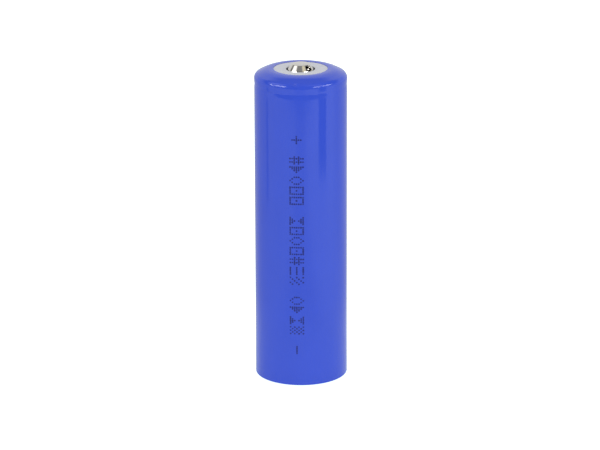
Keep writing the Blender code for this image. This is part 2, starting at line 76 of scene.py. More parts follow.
class Graph:
    """A shader or geometry node tree, with one way to make every kind of node."""

    def __init__(self, tree: bpy.types.NodeTree) -> None:
        """Keeps the tree that nodes are added to."""
        self.tree = tree

    def node(self, kind: str, settings: dict | None = None, inputs: dict | None = None) -> bpy.types.Node:
        """Adds a node.

        Args:
            kind: The node's type name.
            settings: Its own settings, and "stops" for a colour ramp's stops, set first.
            inputs: Socket name or number to a value, a socket or a Term.

        Returns:
            The new node.
        """
        made = self.tree.nodes.new(kind)
        for key, value in (settings or {}).items():
            if key == "stops":
                self._set_stops(made.color_ramp, value)
            else:
                setattr(made, key, value)
        for key, value in (inputs or {}).items():
            self.feed(made.inputs[key], value)
        return made

    def feed(self, socket: bpy.types.NodeSocket, value: object) -> None:
        """Sets a socket to a value, or links it to a socket or a Term.

        Args:
            socket: The input to set.
            value: A plain value, a socket or a Term.
        """
        if isinstance(value, Term):
            value = value.socket
        if isinstance(value, bpy.types.NodeSocket):
            self.tree.links.new(value, socket)
        else:
            socket.default_value = value

    def term(self, kind: str, settings: dict | None = None, inputs: dict | None = None,
             output: int | str = 0) -> "Term":
        """Adds a node and wraps one of its outputs."""
        return Term(self, self.node(kind, settings, inputs).outputs[output])

    def vector(self, *parts: object) -> bpy.types.NodeSocket:
        """A vector made of up to three numbers or Terms."""
        return self.node("ShaderNodeCombineXYZ", None, dict(enumerate(parts))).outputs[0]

    def axes(self, vector: bpy.types.NodeSocket) -> list["Term"]:
        """The three parts of a vector."""
        return [Term(self, part) for part in self.node("ShaderNodeSeparateXYZ", None, {0: vector}).outputs]

    def mixed(self, factor: "Term | float", first: object, second: object) -> bpy.types.NodeSocket:
        """A colour between two colours."""
        made = self.node("ShaderNodeMix", {"data_type": "RGBA"}, {0: factor, 6: first, 7: second})
        return made.outputs[2]

    @staticmethod
    def _set_stops(ramp: bpy.types.ColorRamp, stops: Sequence[tuple[float, tuple]]) -> None:
        """Gives a colour ramp its stops, each a place and a colour.

        Args:
            ramp: The colour ramp.
            stops: Each stop's place and colour.
        """
        while len(ramp.elements) < len(stops):
            ramp.elements.new(1.0)
        for element, (place, color) in zip(ramp.elements, stops):
            element.position = place
            element.color = (*color, 1.0)[:4]


class Term:
    """A number socket that Python's operators can be used on."""

    def __init__(self, graph: Graph, socket: bpy.types.NodeSocket) -> None:
        """Wraps a socket of that graph."""
        self.graph = graph
        self.socket = socket

    def _maths(self, operation: str, *values: object) -> "Term":
        """One Math node on the values, in order."""
        return self.graph.term("ShaderNodeMath", {"operation": operation}, dict(enumerate(values)))

    def __add__(self, other: object) -> "Term":
        """self + other."""
        return self._maths("ADD", self, other)

    def __radd__(self, other: object) -> "Term":
        """other + self."""
        return self._maths("ADD", other, self)

    def __sub__(self, other: object) -> "Term":
        """self - other."""
        return self._maths("SUBTRACT", self, other)

    def __rsub__(self, other: object) -> "Term":
        """other - self."""
        return self._maths("SUBTRACT", other, self)

    def __mul__(self, other: object) -> "Term":
        """self * other."""
        return self._maths("MULTIPLY", self, other)

    def __rmul__(self, other: object) -> "Term":
        """other * self."""
        return self._maths("MULTIPLY", other, self)

    def __truediv__(self, other: object) -> "Term":
        """self / other."""
        return self._maths("DIVIDE", self, other)

    def sine(self) -> "Term":
        """The sine of self."""
        return self._maths("SINE", self)

    def ramp(self, low: float, high: float) -> "Term":
        """A smooth step from 0 at low to 1 at high."""
        settings = {"interpolation_type": "SMOOTHSTEP"}
        return self.graph.term("ShaderNodeMapRange", settings, {0: self, 1: low, 2: high})


class Shading(Graph):
    """A material's node tree, with the textures that the finishes share."""

    def __init__(self, name: str) -> None:
        """Makes the material and empties its tree.

        Args:
            name: The material's name.
        """
        self.material = bpy.data.materials.new(name)
        self.material.use_nodes = True
        super().__init__(self.material.node_tree)
        self.tree.nodes.clear()
        self.place = self.node("ShaderNodeTexCoord").outputs["Object"]

    def noise(self, size: float, detail: float = 3.0, stretch: Sequence[float] | None = None) -> Term:
        """Noise whose features are about that size.

        Args:
            size: The size of a feature in metres.
            detail: The number of finer layers.
            stretch: A scale along each axis, under 1 to draw the features out.

        Returns:
            The noise, from 0 to 1.
        """
        where = self.place
        if stretch:
            where = self.node("ShaderNodeMapping", None, {"Vector": where, "Scale": stretch}).outputs[0]
        inputs = {"Vector": where, "Scale": 1 / size, "Detail": detail, "Roughness": 0.55}
        return self.term("ShaderNodeTexNoise", None, inputs)

    def bumped(self, height: Term, depth: float, strength: float = 1.0) -> bpy.types.NodeSocket:
        """A normal for a relief of that depth in metres."""
        inputs = {"Height": height, "Distance": depth, "Strength": strength}
        return self.node("ShaderNodeBump", None, inputs).outputs[0]

    def surface(self, **sockets: object) -> bpy.types.Material:
        """Ends the tree in a Principled shader with those sockets, named with underscores.

        Returns:
            The finished material.
        """
        inputs = {key.replace("_", " "): value for key, value in sockets.items()}
        shader = self.node("ShaderNodeBsdfPrincipled", None, inputs)
        self.node("ShaderNodeOutputMaterial", None, {"Surface": shader.outputs[0]})
        return self.material


# ---------------------------------------------------------------- finishes


def shade(color: Sequence[float], by: float) -> tuple[float, float, float, float]:
    """A colour made lighter or darker, with full alpha."""
    return (*(min(1.0, channel * by) for channel in color[:3]), 1.0)


@dataclass(frozen=True)
class FilmFinish:
    """Heat-shrunk film: saturated, glossy, with a faint orange peel and handling haze."""

    color: tuple[float, float, float] = (0.040, 0.088, 0.65)
    roughness: float = 0.11
    ior: float = 1.42

    def make(self, name: str) -> bpy.types.Material:
        """Makes the material.

        Args:
            name: The material's name.

        Returns:
            The finished material.
        """
        look = Shading(name)
        cloud = look.noise(9 * MM, 2.0)
        peel = look.noise(0.9 * MM, 2.0, (1, 1, 0.45))
        haze = look.noise(2.4 * MM, 4.0)
        color = look.mixed(cloud, shade(self.color, 0.95), shade(self.color, 1.05))
        relief = look.bumped(peel, 0.004 * MM)
        return look.surface(
            Base_Color=color,
            Roughness=haze * 0.07 + (self.roughness - 0.035),
            IOR=self.ior,
            Normal=relief,
        )


@dataclass(frozen=True)
class InkFinish:
    """Ink of a dot-matrix printer, a little uneven in its cover."""

    color: tuple[float, float, float] = (0.012, 0.021, 0.19)

    def make(self, name: str) -> bpy.types.Material:
        """Makes the material.

        Args:
            name: The material's name.

        Returns:
            The finished material.
        """
        look = Shading(name)
        cover = look.noise(0.35 * MM, 3.0)
        color = look.mixed(cover, shade(self.color, 0.75), shade(self.color, 1.35))
        return look.surface(Base_Color=color, Roughness=cover * 0.2 + 0.25, IOR=1.42)


@dataclass(frozen=True)
class MetalFinish:
    """Plated or rolled metal, with the lines of its rolling and small stains."""

    color: tuple[float, float, float]
    roughness: float = 0.2
    line: float = 0.05 * MM
    stretch: tuple[float, float, float] = (1, 1, 1)
    relief: float = 0.002 * MM

    def make(self, name: str) -> bpy.types.Material:
        """Makes the material.

        Args:
            name: The material's name.

        Returns:
            The finished material.
        """
        look = Shading(name)
        lines = look.noise(self.line, 3.0, self.stretch)
        stain = look.noise(1.6 * MM, 4.0)
        color = look.mixed(stain.ramp(0.35, 0.75), shade(self.color, 1.0), shade(self.color, 0.86))
        return look.surface(
            Base_Color=color,
            Metallic=1.0,
            Roughness=lines * 0.12 + stain * 0.08 + (self.roughness - 0.1),
            Normal=look.bumped(lines, self.relief),
        )


@dataclass(frozen=True)
class FibreFinish:
    """Pressed fibre or vulcanised paper: matt, mottled and slightly hairy."""

    color: tuple[float, float, float]
    mottle: float = 0.12
    fibre: float = 0.16 * MM

    def make(self, name: str) -> bpy.types.Material:
        """Makes the material.

        Args:
            name: The material's name.

        Returns:
            The finished material.
        """
        look = Shading(name)
        mottle = look.noise(1.1 * MM, 4.0)
        fibre = look.noise(self.fibre, 4.0, (1, 0.35, 1))
        cross = look.noise(self.fibre, 4.0, (0.35, 1, 1))
        tone = mottle * 0.6 + fibre * 0.2 + cross * 0.2
        color = look.mixed(tone, shade(self.color, 1 - self.mottle), shade(self.color, 1 + self.mottle))
        return look.surface(
            Base_Color=color,
            Roughness=fibre * 0.15 + 0.68,
            Normal=look.bumped(fibre + cross, 0.012 * MM, 0.8),
        )


@dataclass(frozen=True)
class MouldedFinish:
    """A moulded or coated surface: one colour with fine grain, cloud and a soft sheen."""

    color: tuple[float, float, float]
    roughness: float = 0.5
    grain: float = 0.06 * MM
    variation: float = 0.08
    stretch: tuple[float, float, float] = (1, 1, 1)

    def make(self, name: str) -> bpy.types.Material:
        """Makes the material.

        Args:
            name: The material's name.

        Returns:
            The finished material.
        """
        look = Shading(name)
        grain = look.noise(self.grain, 3.0, self.stretch)
        cloud = look.noise(2.5 * MM, 3.0)
        tone = grain * 0.5 + cloud * 0.5
        low, high = shade(self.color, 1 - self.variation), shade(self.color, 1 + self.variation)
        return look.surface(
            Base_Color=look.mixed(tone, low, high),
            Roughness=grain * 0.16 + (self.roughness - 0.08),
            Normal=look.bumped(grain, 0.004 * MM),
        )


@dataclass(frozen=True)
class LaminateFinish:
    """Solder mask over a glass weave, whose threads show through as a fine square grid."""

    color: tuple[float, float, float]
    thread: float = 0.35 * MM

    def make(self, name: str) -> bpy.types.Material:
        """Makes the material.

        Args:
            name: The material's name.

        Returns:
            The finished material.
        """
        look = Shading(name)
        along, across = (part * (TAU / self.thread) for part in look.axes(look.place)[:2])
        weave = along.sine() * across.sine() * 0.5 + 0.5
        tone = weave * 0.35 + look.noise(1.5 * MM, 3.0) * 0.65
        color = look.mixed(tone, shade(self.color, 0.75), shade(self.color, 1.3))
        relief = look.bumped(weave, 0.003 * MM)
        return look.surface(Base_Color=color, Roughness=weave * 0.06 + 0.3, Normal=relief)


class Finish(Enum):
    """Every finish of the cell, each made once as a material."""

    FILM = FilmFinish()
    INK = InkFinish()
    WHITE_FIBRE = FibreFinish((0.955, 0.965, 0.985), 0.03)
    FISH_PAPER = FibreFinish((0.30, 0.36, 0.30), 0.18)
    NICKEL = MetalFinish((0.51, 0.50, 0.47), 0.17)
    DRAWN_STEEL = MetalFinish((0.56, 0.56, 0.55), 0.26, 0.12 * MM, (1, 1, 0.05), 0.004 * MM)
    ROLLED_NICKEL = MetalFinish((0.62, 0.60, 0.56), 0.28, 0.08 * MM, (1, 1, 0.06), 0.004 * MM)
    ALUMINIUM = MetalFinish((0.80, 0.81, 0.83), 0.28, 0.1 * MM, (0.08, 1, 1), 0.004 * MM)
    POLYMER = MouldedFinish((0.74, 0.74, 0.68), 0.45)
    PTC = MouldedFinish((0.035, 0.035, 0.04), 0.6, 0.09 * MM, 0.25)
    POLYIMIDE = MouldedFinish((0.58, 0.27, 0.03), 0.28, 0.5 * MM, 0.12)
    CATHODE = MouldedFinish((0.028, 0.028, 0.031), 0.8, 0.05 * MM, 0.3, (1, 1, 0.2))
    ANODE = MouldedFinish((0.062, 0.056, 0.052), 0.62, 0.07 * MM, 0.25, (1, 1, 0.2))
    SEPARATOR = MouldedFinish((0.82, 0.83, 0.85), 0.5, 0.12 * MM, 0.04)
    LAMINATE = LaminateFinish((0.012, 0.11, 0.04))
    CHIP = MouldedFinish((0.018, 0.018, 0.02), 0.5, 0.05 * MM, 0.2)
    CERAMIC = MouldedFinish((0.32, 0.23, 0.14), 0.5, 0.08 * MM, 0.15)
    RESISTOR = MouldedFinish((0.025, 0.025, 0.03), 0.35, 0.08 * MM, 0.15)
    TIN = MetalFinish((0.72, 0.72, 0.70), 0.34, 0.2 * MM)
    GOLD = MetalFinish((0.83, 0.62, 0.28), 0.3, 0.15 * MM)

    def material(self) -> bpy.types.Material:
        """This finish's material, made at its first use."""
        name = self.name.lower()
        return bpy.data.materials.get(name) or self.value.make(name)


# ---------------------------------------------------------------- mesh tools


def rounded(corners: Sequence[tuple], steps: int = 8) -> list[Point]:
    """Rounds the corners of a turned profile.

    Args:
        corners: (r, z) for a sharp corner, or (r, z, radius) for a rounded one.
        steps: How many pieces each arc has.

    Returns:
        The (r, z) points of the whole line.
    """
    points: list[Point] = []
    for i, (r, z, *radius) in enumerate(corners):
        if not radius:
            points.append((r, z))
            continue
        last, following = corners[i - 1], corners[(i + 1) % len(corners)]
        before = math.atan2(last[1] - z, last[0] - r)
        after = math.atan2(following[1] - z, following[0] - r)
        half = ((after - before + math.pi) % TAU - math.pi) / 2
        middle = before + half
        reach = radius[0] / math.sin(abs(half))
        centre = (r + reach * math.cos(middle), z + reach * math.sin(middle))
        sweep = math.copysign(math.pi / 2 - abs(half), half)
        for step in range(steps + 1):
            angle = middle + math.pi + sweep * (1 - 2 * step / steps)
            along, up = radius[0] * math.cos(angle), radius[0] * math.sin(angle)
            points.append((centre[0] + along, centre[1] + up))
    return points


def refined(points: Sequence[Point], longest: float) -> list[Point]:
    """Adds points along a line, so that no piece of it is longer than that.

    Args:
        points: The line's points.
        longest: The longest piece that is left whole.

    Returns:
        The line with its new points.
    """
    made = [points[0]]
    for start, end in zip(points, points[1:]):
        pieces = max(1, math.ceil(math.dist(start, end) / longest))
        for i in range(1, pieces + 1):
            made.append(tuple(a + (b - a) * i / pieces for a, b in zip(start, end)))
    return made


def walled(outer: Sequence[Point], wall: float) -> list[Point]:
    """The closed profile of a shell, from its outer face and its wall.

    Args:
        outer: The outer face, from the top to the bottom or from the axis to the rim.
        wall: The wall's thickness, grown to the right hand of the line.

    Returns:
        The outer face and then the inner one, back to the start.
    """
    inner = []
    for i, (r, z) in enumerate(outer):
        before, after = outer[max(i - 1, 0)], outer[min(i + 1, len(outer) - 1)]
        ways = [Vector(b) - Vector(a) for a, b in ((before, (r, z)), ((r, z), after)) if a != b]
        ways = [way.normalized() for way in ways]
        total = sum(ways, Vector((0, 0)))
        scale = wall * len(ways) / total.length_squared
        inner.append((r + scale * total.y if r else 0.0, z - scale * total.x))
    return [*outer, *inner[::-1]]


def turned(name: str, points: Sequence[Point], segments: int = 128,
           warp: Warp | None = None) -> bpy.types.Mesh:
    """Turns a profile round the Z axis into a closed mesh.

    Args:
        name: The mesh's name.
        points: The profile. It starts and ends on the axis, or else it is a closed loop.
        segments: How many steps the turn has.
        warp: Maps (angle, r, z) to a new (r, z).

    Returns:
        The mesh, with its faces pointing out.
    """
    shape = bmesh.new()
    rows = []
    for r, z in points:
        if r <= 0:
            rows.append([shape.verts.new((0, 0, z))] * segments)
            continue
        row = []
        for i in range(segments):
            angle = TAU * i / segments
            out, up = warp(angle, r, z) if warp else (r, z)
            row.append(shape.verts.new((out * math.cos(angle), out * math.sin(angle), up)))
        rows.append(row)
    loops = rows if points[0][0] <= 0 else [*rows, rows[0]]
    for upper, lower in zip(loops, loops[1:]):
        for i in range(segments):
            j = (i + 1) % segments
            corners = list(dict.fromkeys((upper[i], lower[i], lower[j], upper[j])))
            if len(corners) > 2:
                shape.faces.new(corners)
    bmesh.ops.recalc_face_normals(shape, faces=shape.faces)
    return finished(name, shape)


def smoothed(mesh: bpy.types.Mesh) -> bpy.types.Mesh:
    """Smooths a mesh's faces and keeps its corners sharp.

    Args:
        mesh: The mesh, which is changed in place.

    Returns:
        The same mesh.
    """
    mesh.shade_smooth()
    mesh.set_sharp_from_angle(angle=math.radians(SHARP_DEG))
    return mesh


def finished(name: str, shape: bmesh.types.BMesh) -> bpy.types.Mesh:
    """Writes a BMesh to a smoothed mesh and frees it.

    Args:
        name: The mesh's name.
        shape: The shape, which is freed.

    Returns:
        The new mesh.
    """
    mesh = bpy.data.meshes.new(name)
    shape.to_mesh(mesh)
    shape.free()
    return smoothed(mesh)


def block(name: str, low: Sequence[float], high: Sequence[float], edge: float,
          segments: int = 3) -> bpy.types.Mesh:
    """A box between two corners, with rounded edges.

    Args:
        name: The mesh's name.
        low: Its lowest corner.
        high: Its highest corner.
        edge: The radius of its edges.
        segments: How many faces each rounded edge has.

    Returns:
        The new mesh.
    """
    shape = bmesh.new()
    bmesh.ops.create_cube(shape, size=1)
    for vertex in shape.verts:
        vertex.co = [(a + b) / 2 + c * (b - a) for a, b, c in zip(low, high, vertex.co)]
    bmesh.ops.bevel(shape, geom=shape.edges, offset=edge, segments=segments, profile=0.5, affect="EDGES")
    return finished(name, shape)


def scattered(name: str, points: Sequence[Sequence[float]], note: str = "",
              vectors: Sequence[Sequence[float]] = ()) -> bpy.types.Mesh:
    """Loose points for a shape to be put on each, with a vector noted on each where there are any.

    Args:
        name: The mesh's name.
        points: The points' places.
        note: The name of what is noted on the points.
        vectors: What is noted on each point.

    Returns:
        The mesh, which has no edges or faces.
    """
    mesh = bpy.data.meshes.new(name)
    mesh.from_pydata(points, [], [])
    if note:
        for item, vector in zip(mesh.attributes.new(note, "FLOAT_VECTOR", "POINT").data, vectors):
            item.vector = vector
    return mesh


def placed(name: str, mesh: bpy.types.Mesh, finish: Finish) -> bpy.types.Object:
    """An object for that mesh, at the origin, in that finish.

    Args:
        name: The object's name.
        mesh: Its mesh.
        finish: The finish of the whole mesh.

    Returns:
        The new object.
    """
    made = bpy.data.objects.new(name, mesh)
    bpy.context.scene.collection.objects.link(made)
    mesh.materials.clear()
    mesh.materials.append(finish.material())
    return made


def applied(obj: bpy.types.Object) -> bpy.types.Object:
    """Makes an object's modifiers part of its mesh.

    Args:
        obj: The object, which keeps its name and place.

    Returns:
        The same object, with no modifiers.
    """
    graph = bpy.context.evaluated_depsgraph_get()
    mesh = bpy.data.meshes.new_from_object(obj.evaluated_get(graph), depsgraph=graph)
    obj.modifiers.clear()
    obj.data = mesh
    return obj


def cut(obj: bpy.types.Object, *cutters: bpy.types.Object) -> bpy.types.Object:
    """Cuts holes into a piece and removes the cutters.

    Args:
        obj: The piece to cut.
        cutters: The shapes to take out of it, which are removed.

    Returns:
        The same piece.
    """
    for cutter in cutters:
        hole = obj.modifiers.new(cutter.name, "BOOLEAN")
        hole.object = cutter
        hole.solver = "EXACT"
    bpy.context.view_layer.update()
    applied(obj)
    for cutter in cutters:
        bpy.data.objects.remove(cutter, do_unlink=True)
    smoothed(obj.data)
    return obj


def notched(piece: bpy.types.Object, low: Sequence[float], high: Sequence[float],
            edge: float = 0.05 * MM) -> bpy.types.Object:
    """Cuts a box with rounded edges out of a piece."""
    return cut(piece, placed("notch", block("notch", low, high, edge), Finish.NICKEL))


def dimpled(piece: bpy.types.Object, radius: float, place: Sequence[float], half: float) -> bpy.types.Object:
    """Cuts a shallow round dimple, centred on a place, into a piece.

    Args:
        piece: The piece to cut.
        radius: The dimple's radius.
        place: The middle of the cutter.
        half: Half of the cutter's height.

    Returns:
        The same piece.
    """
    shape = bmesh.new()
    bmesh.ops.create_cone(shape, cap_ends=True, segments=32, radius1=radius, radius2=radius, depth=2 * half)
    bmesh.ops.translate(shape, verts=shape.verts, vec=place)
    return cut(piece, placed("dimple", finished("dimple", shape), Finish.NICKEL))


def settle(piece: bpy.types.Object, slot: str, *nodes: str, body: str = CELL_BODY) -> None:
    """Rides a finished piece on its body and says which CAD nodes it stands for.

    Args:
        piece: The finished piece.
        slot: Not used.
        nodes: The CAD nodes that it stands for.
        body: The body that it moves with.
    """
    if nodes:
        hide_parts(*nodes)
    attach(piece, body)
    log.info("%-22s %6d faces, for %s", piece.name, len(piece.data.polygons), ", ".join(nodes) or "-")


class Recipe(Graph):
    """A geometry node tree with named inputs, run once into a plain mesh."""

    def __init__(self, name: str, sizes: dict[str, float]) -> None:
        """Makes an empty tree.

        Args:
            name: The tree's name.
            sizes: Each input's name and the value that the modifier gets.
        """
        tree = bpy.data.node_groups.new(name, "GeometryNodeTree")
        super().__init__(tree)
        self.sizes = sizes
        tree.interface.new_socket("Geometry", in_out="OUTPUT", socket_type="NodeSocketGeometry")
        tree.interface.new_socket("Geometry", in_out="INPUT", socket_type="NodeSocketGeometry")
        for key, value in sizes.items():
            kind = "NodeSocketInt" if isinstance(value, int) else "NodeSocketFloat"
            tree.interface.new_socket(key, in_out="INPUT", socket_type=kind)
        self.given = self.node("NodeGroupInput").outputs

    def size(self, key: str) -> Term:
        """One of the tree's named inputs."""
        return Term(self, self.given[key])

    def put(self, instance: bpy.types.NodeSocket, **inputs: object) -> bpy.types.NodeSocket:
        """Puts a shape on every point that goes into the tree."""
        given = {"Points": self.given["Geometry"], "Instance": instance, **inputs}
        return self.node("GeometryNodeInstanceOnPoints", None, given).outputs[0]

    def noted(self, note: str) -> bpy.types.NodeSocket:
        """The vector that is noted on each point."""
        settings = {"data_type": "FLOAT_VECTOR"}
        return self.node("GeometryNodeInputNamedAttribute", settings, {"Name": note}).outputs[0]

    def bake(self, name: str, geometry: bpy.types.NodeSocket, finish: Finish,
             base: bpy.types.Mesh | None = None) -> bpy.types.Object:
        """Ends the tree, runs it on a base mesh and keeps the result.

        Args:
            name: The piece's name.
            geometry: The socket that the shape comes out of.
            finish: The finish of the whole piece.
            base: The mesh that goes in, or None for a tree that makes its own.

        Returns:
            An object with a plain mesh and no modifier.
        """
        real = self.node("GeometryNodeRealizeInstances", None, {0: geometry}).outputs[0]
        dressed = self.node("GeometryNodeSetMaterial", None, {"Geometry": real})
        dressed.inputs["Material"].default_value = finish.material()
        self.node("NodeGroupOutput", None, {0: dressed.outputs[0]})
        piece = placed(name, base or bpy.data.meshes.new(name), finish)
        run = piece.modifiers.new(self.tree.name, "NODES")
        run.node_group = self.tree
        items = [item for item in self.tree.interface.items_tree if item.in_out == "INPUT"]
        sockets = {item.name: item.identifier for item in items}
        for key, value in self.sizes.items():
            run[sockets[key]] = value
        bpy.context.view_layer.update()
        applied(piece)
        piece.data.materials.clear()
        piece.data.materials.append(finish.material())
        piece.data.polygons.foreach_set("material_index", [0] * len(piece.data.polygons))
        smoothed(piece.data)
        return piece


def extent(node: str) -> tuple[float, float, float]:
    """A turned node's outer radius, its foot and its top."""
    low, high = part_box(node)
    return high[0], low[2], high[2]


def hoop(name: str, inner: float, outer: float, bottom: float, top: float, edge: float,
         segments: int = 160) -> bpy.types.Mesh:
    """A flat ring or a tube with soft edges, or a disc where the inner radius is 0.

    Args:
        name: The mesh's name.
        inner: Its inner radius.
        outer: Its outer radius.
        bottom: The height of its foot.
        top: The height of its top.
        edge: The radius of its edges.
        segments: How many steps the turn has.

    Returns:
        The new mesh.
    """
    if inner:
        loop = [(inner, top, edge), (outer, top, edge), (outer, bottom, edge), (inner, bottom, edge)]
    else:
        loop = [(0, top), (outer, top, edge), (outer, bottom, edge), (0, bottom)]
    return turned(name, rounded(loop, steps=3), segments)


def ring(name: str, node: str, inner: float, edge: float, finish: Finish,
         segments: int = 160) -> bpy.types.Object:
    """A ring, tube or disc in the place of a CAD node, made as hoop makes it."""
    radius, bottom, top = extent(node)
    return placed(name, hoop(name, inner, radius, bottom, top, edge, segments), finish)


class Lay(Enum):
    """How a strip lies: its run along X, along Y, or out along Y and curved with the can's back."""

    ALONG_X = "x"
    ALONG_Y = "y"
    ROUND_BACK = "back"

    def place(self, run: float, across: float, up: float) -> tuple[float, float, float]:
        """The place of a point of the strip.

        Args:
            run: How far along the strip's path.
            across: How far from the strip's middle.
            up: The height.

        Returns:
            The point's x, y and z.
        """
        if self is Lay.ALONG_X:
            return run, across, up
        if self is Lay.ALONG_Y:
            return across, run, up
        return across, math.sqrt(run * run - across * across), up


def strip(name: str, path: Sequence[Point], wall: float, width: float, lay: Lay = Lay.ALONG_X,
          columns: int = 1) -> bpy.types.Mesh:
    """A bent strip of metal or tape.

    Args:
        name: The mesh's name.
        path: Its middle line, as (run, height) points.
        wall: Its thickness.
        width: How wide it is.
        lay: How it lies.
        columns: How many faces it has across its width.

    Returns:
        The mesh, with its faces pointing out.
    """
    half, count = len(path), 2 * len(path)
    beside = walled(path, wall)[:half - 1:-1]
    shifts = [((a[0] - b[0]) / 2, (a[1] - b[1]) / 2) for a, b in zip(path, beside)]
    front = [(run + out, up + rise) for (run, up), (out, rise) in zip(path, shifts)]
    back = [(run - out, up - rise) for (run, up), (out, rise) in zip(path, shifts)]
    shape = bmesh.new()
    rows = []
    for column in range(columns + 1):
        across = (column / columns - 0.5) * width
        rows.append([shape.verts.new(lay.place(run, across, up)) for run, up in (*front, *back[::-1])])
    for near, far in zip(rows, rows[1:]):
        for i in range(count):
            j = (i + 1) % count
            shape.faces.new((near[i], near[j], far[j], far[i]))
    for row in (rows[0], rows[-1]):
        for i in range(half - 1):
            shape.faces.new((row[i], row[i + 1], row[count - 2 - i], row[count - 1 - i]))
    bmesh.ops.recalc_face_normals(shape, faces=shape.faces)
    return finished(name, shape)


def perforated(name: str, shell: bpy.types.Mesh, holes: dict[str, float], finish: Finish) -> bpy.types.Object:
    """Cuts a circle of round holes into a shell.

    Args:
        name: The piece's name.
        shell: The shell without its holes.
        holes: Hole Radius, Circle Radius, Count, First Angle and Middle, the height of their middle.
        finish: The finish of the piece.

    Returns:
        The finished object.
    """
    tree = Recipe(f"{name}_holes", holes)
    given = tree.given
    circle = tree.node("GeometryNodeMeshCircle", None, {
        "Vertices": given["Count"], "Radius": given["Circle Radius"]})
    centres = tree.node("GeometryNodeTransform", None, {
        "Geometry": circle.outputs[0],
        "Translation": tree.vector(0, 0, given["Middle"]),
        "Rotation": tree.vector(0, 0, given["First Angle"]),
    })
    punch = tree.node("GeometryNodeMeshCylinder", None, {
        "Vertices": 32, "Radius": given["Hole Radius"], "Depth": 3 * MM})
    punches = tree.node("GeometryNodeInstanceOnPoints", None, {
        "Points": centres.outputs[0], "Instance": punch.outputs[0]})
    real = tree.node("GeometryNodeRealizeInstances", None, {0: punches.outputs[0]})
    settings = {"operation": "DIFFERENCE", "solver": "EXACT"}
    punched = tree.node("GeometryNodeMeshBoolean", settings, {0: given["Geometry"], 1: real.outputs[0]})
    return tree.bake(name, punched.outputs[0], finish, shell)


# ---------------------------------------------------------------- sleeve and print


def eased(value: float, low: float, high: float) -> float:
    """A smooth step from 0 at low to 1 at high."""
    share = min(1.0, max(0.0, (value - low) / (high - low)))
    return share * share * (3 - 2 * share)


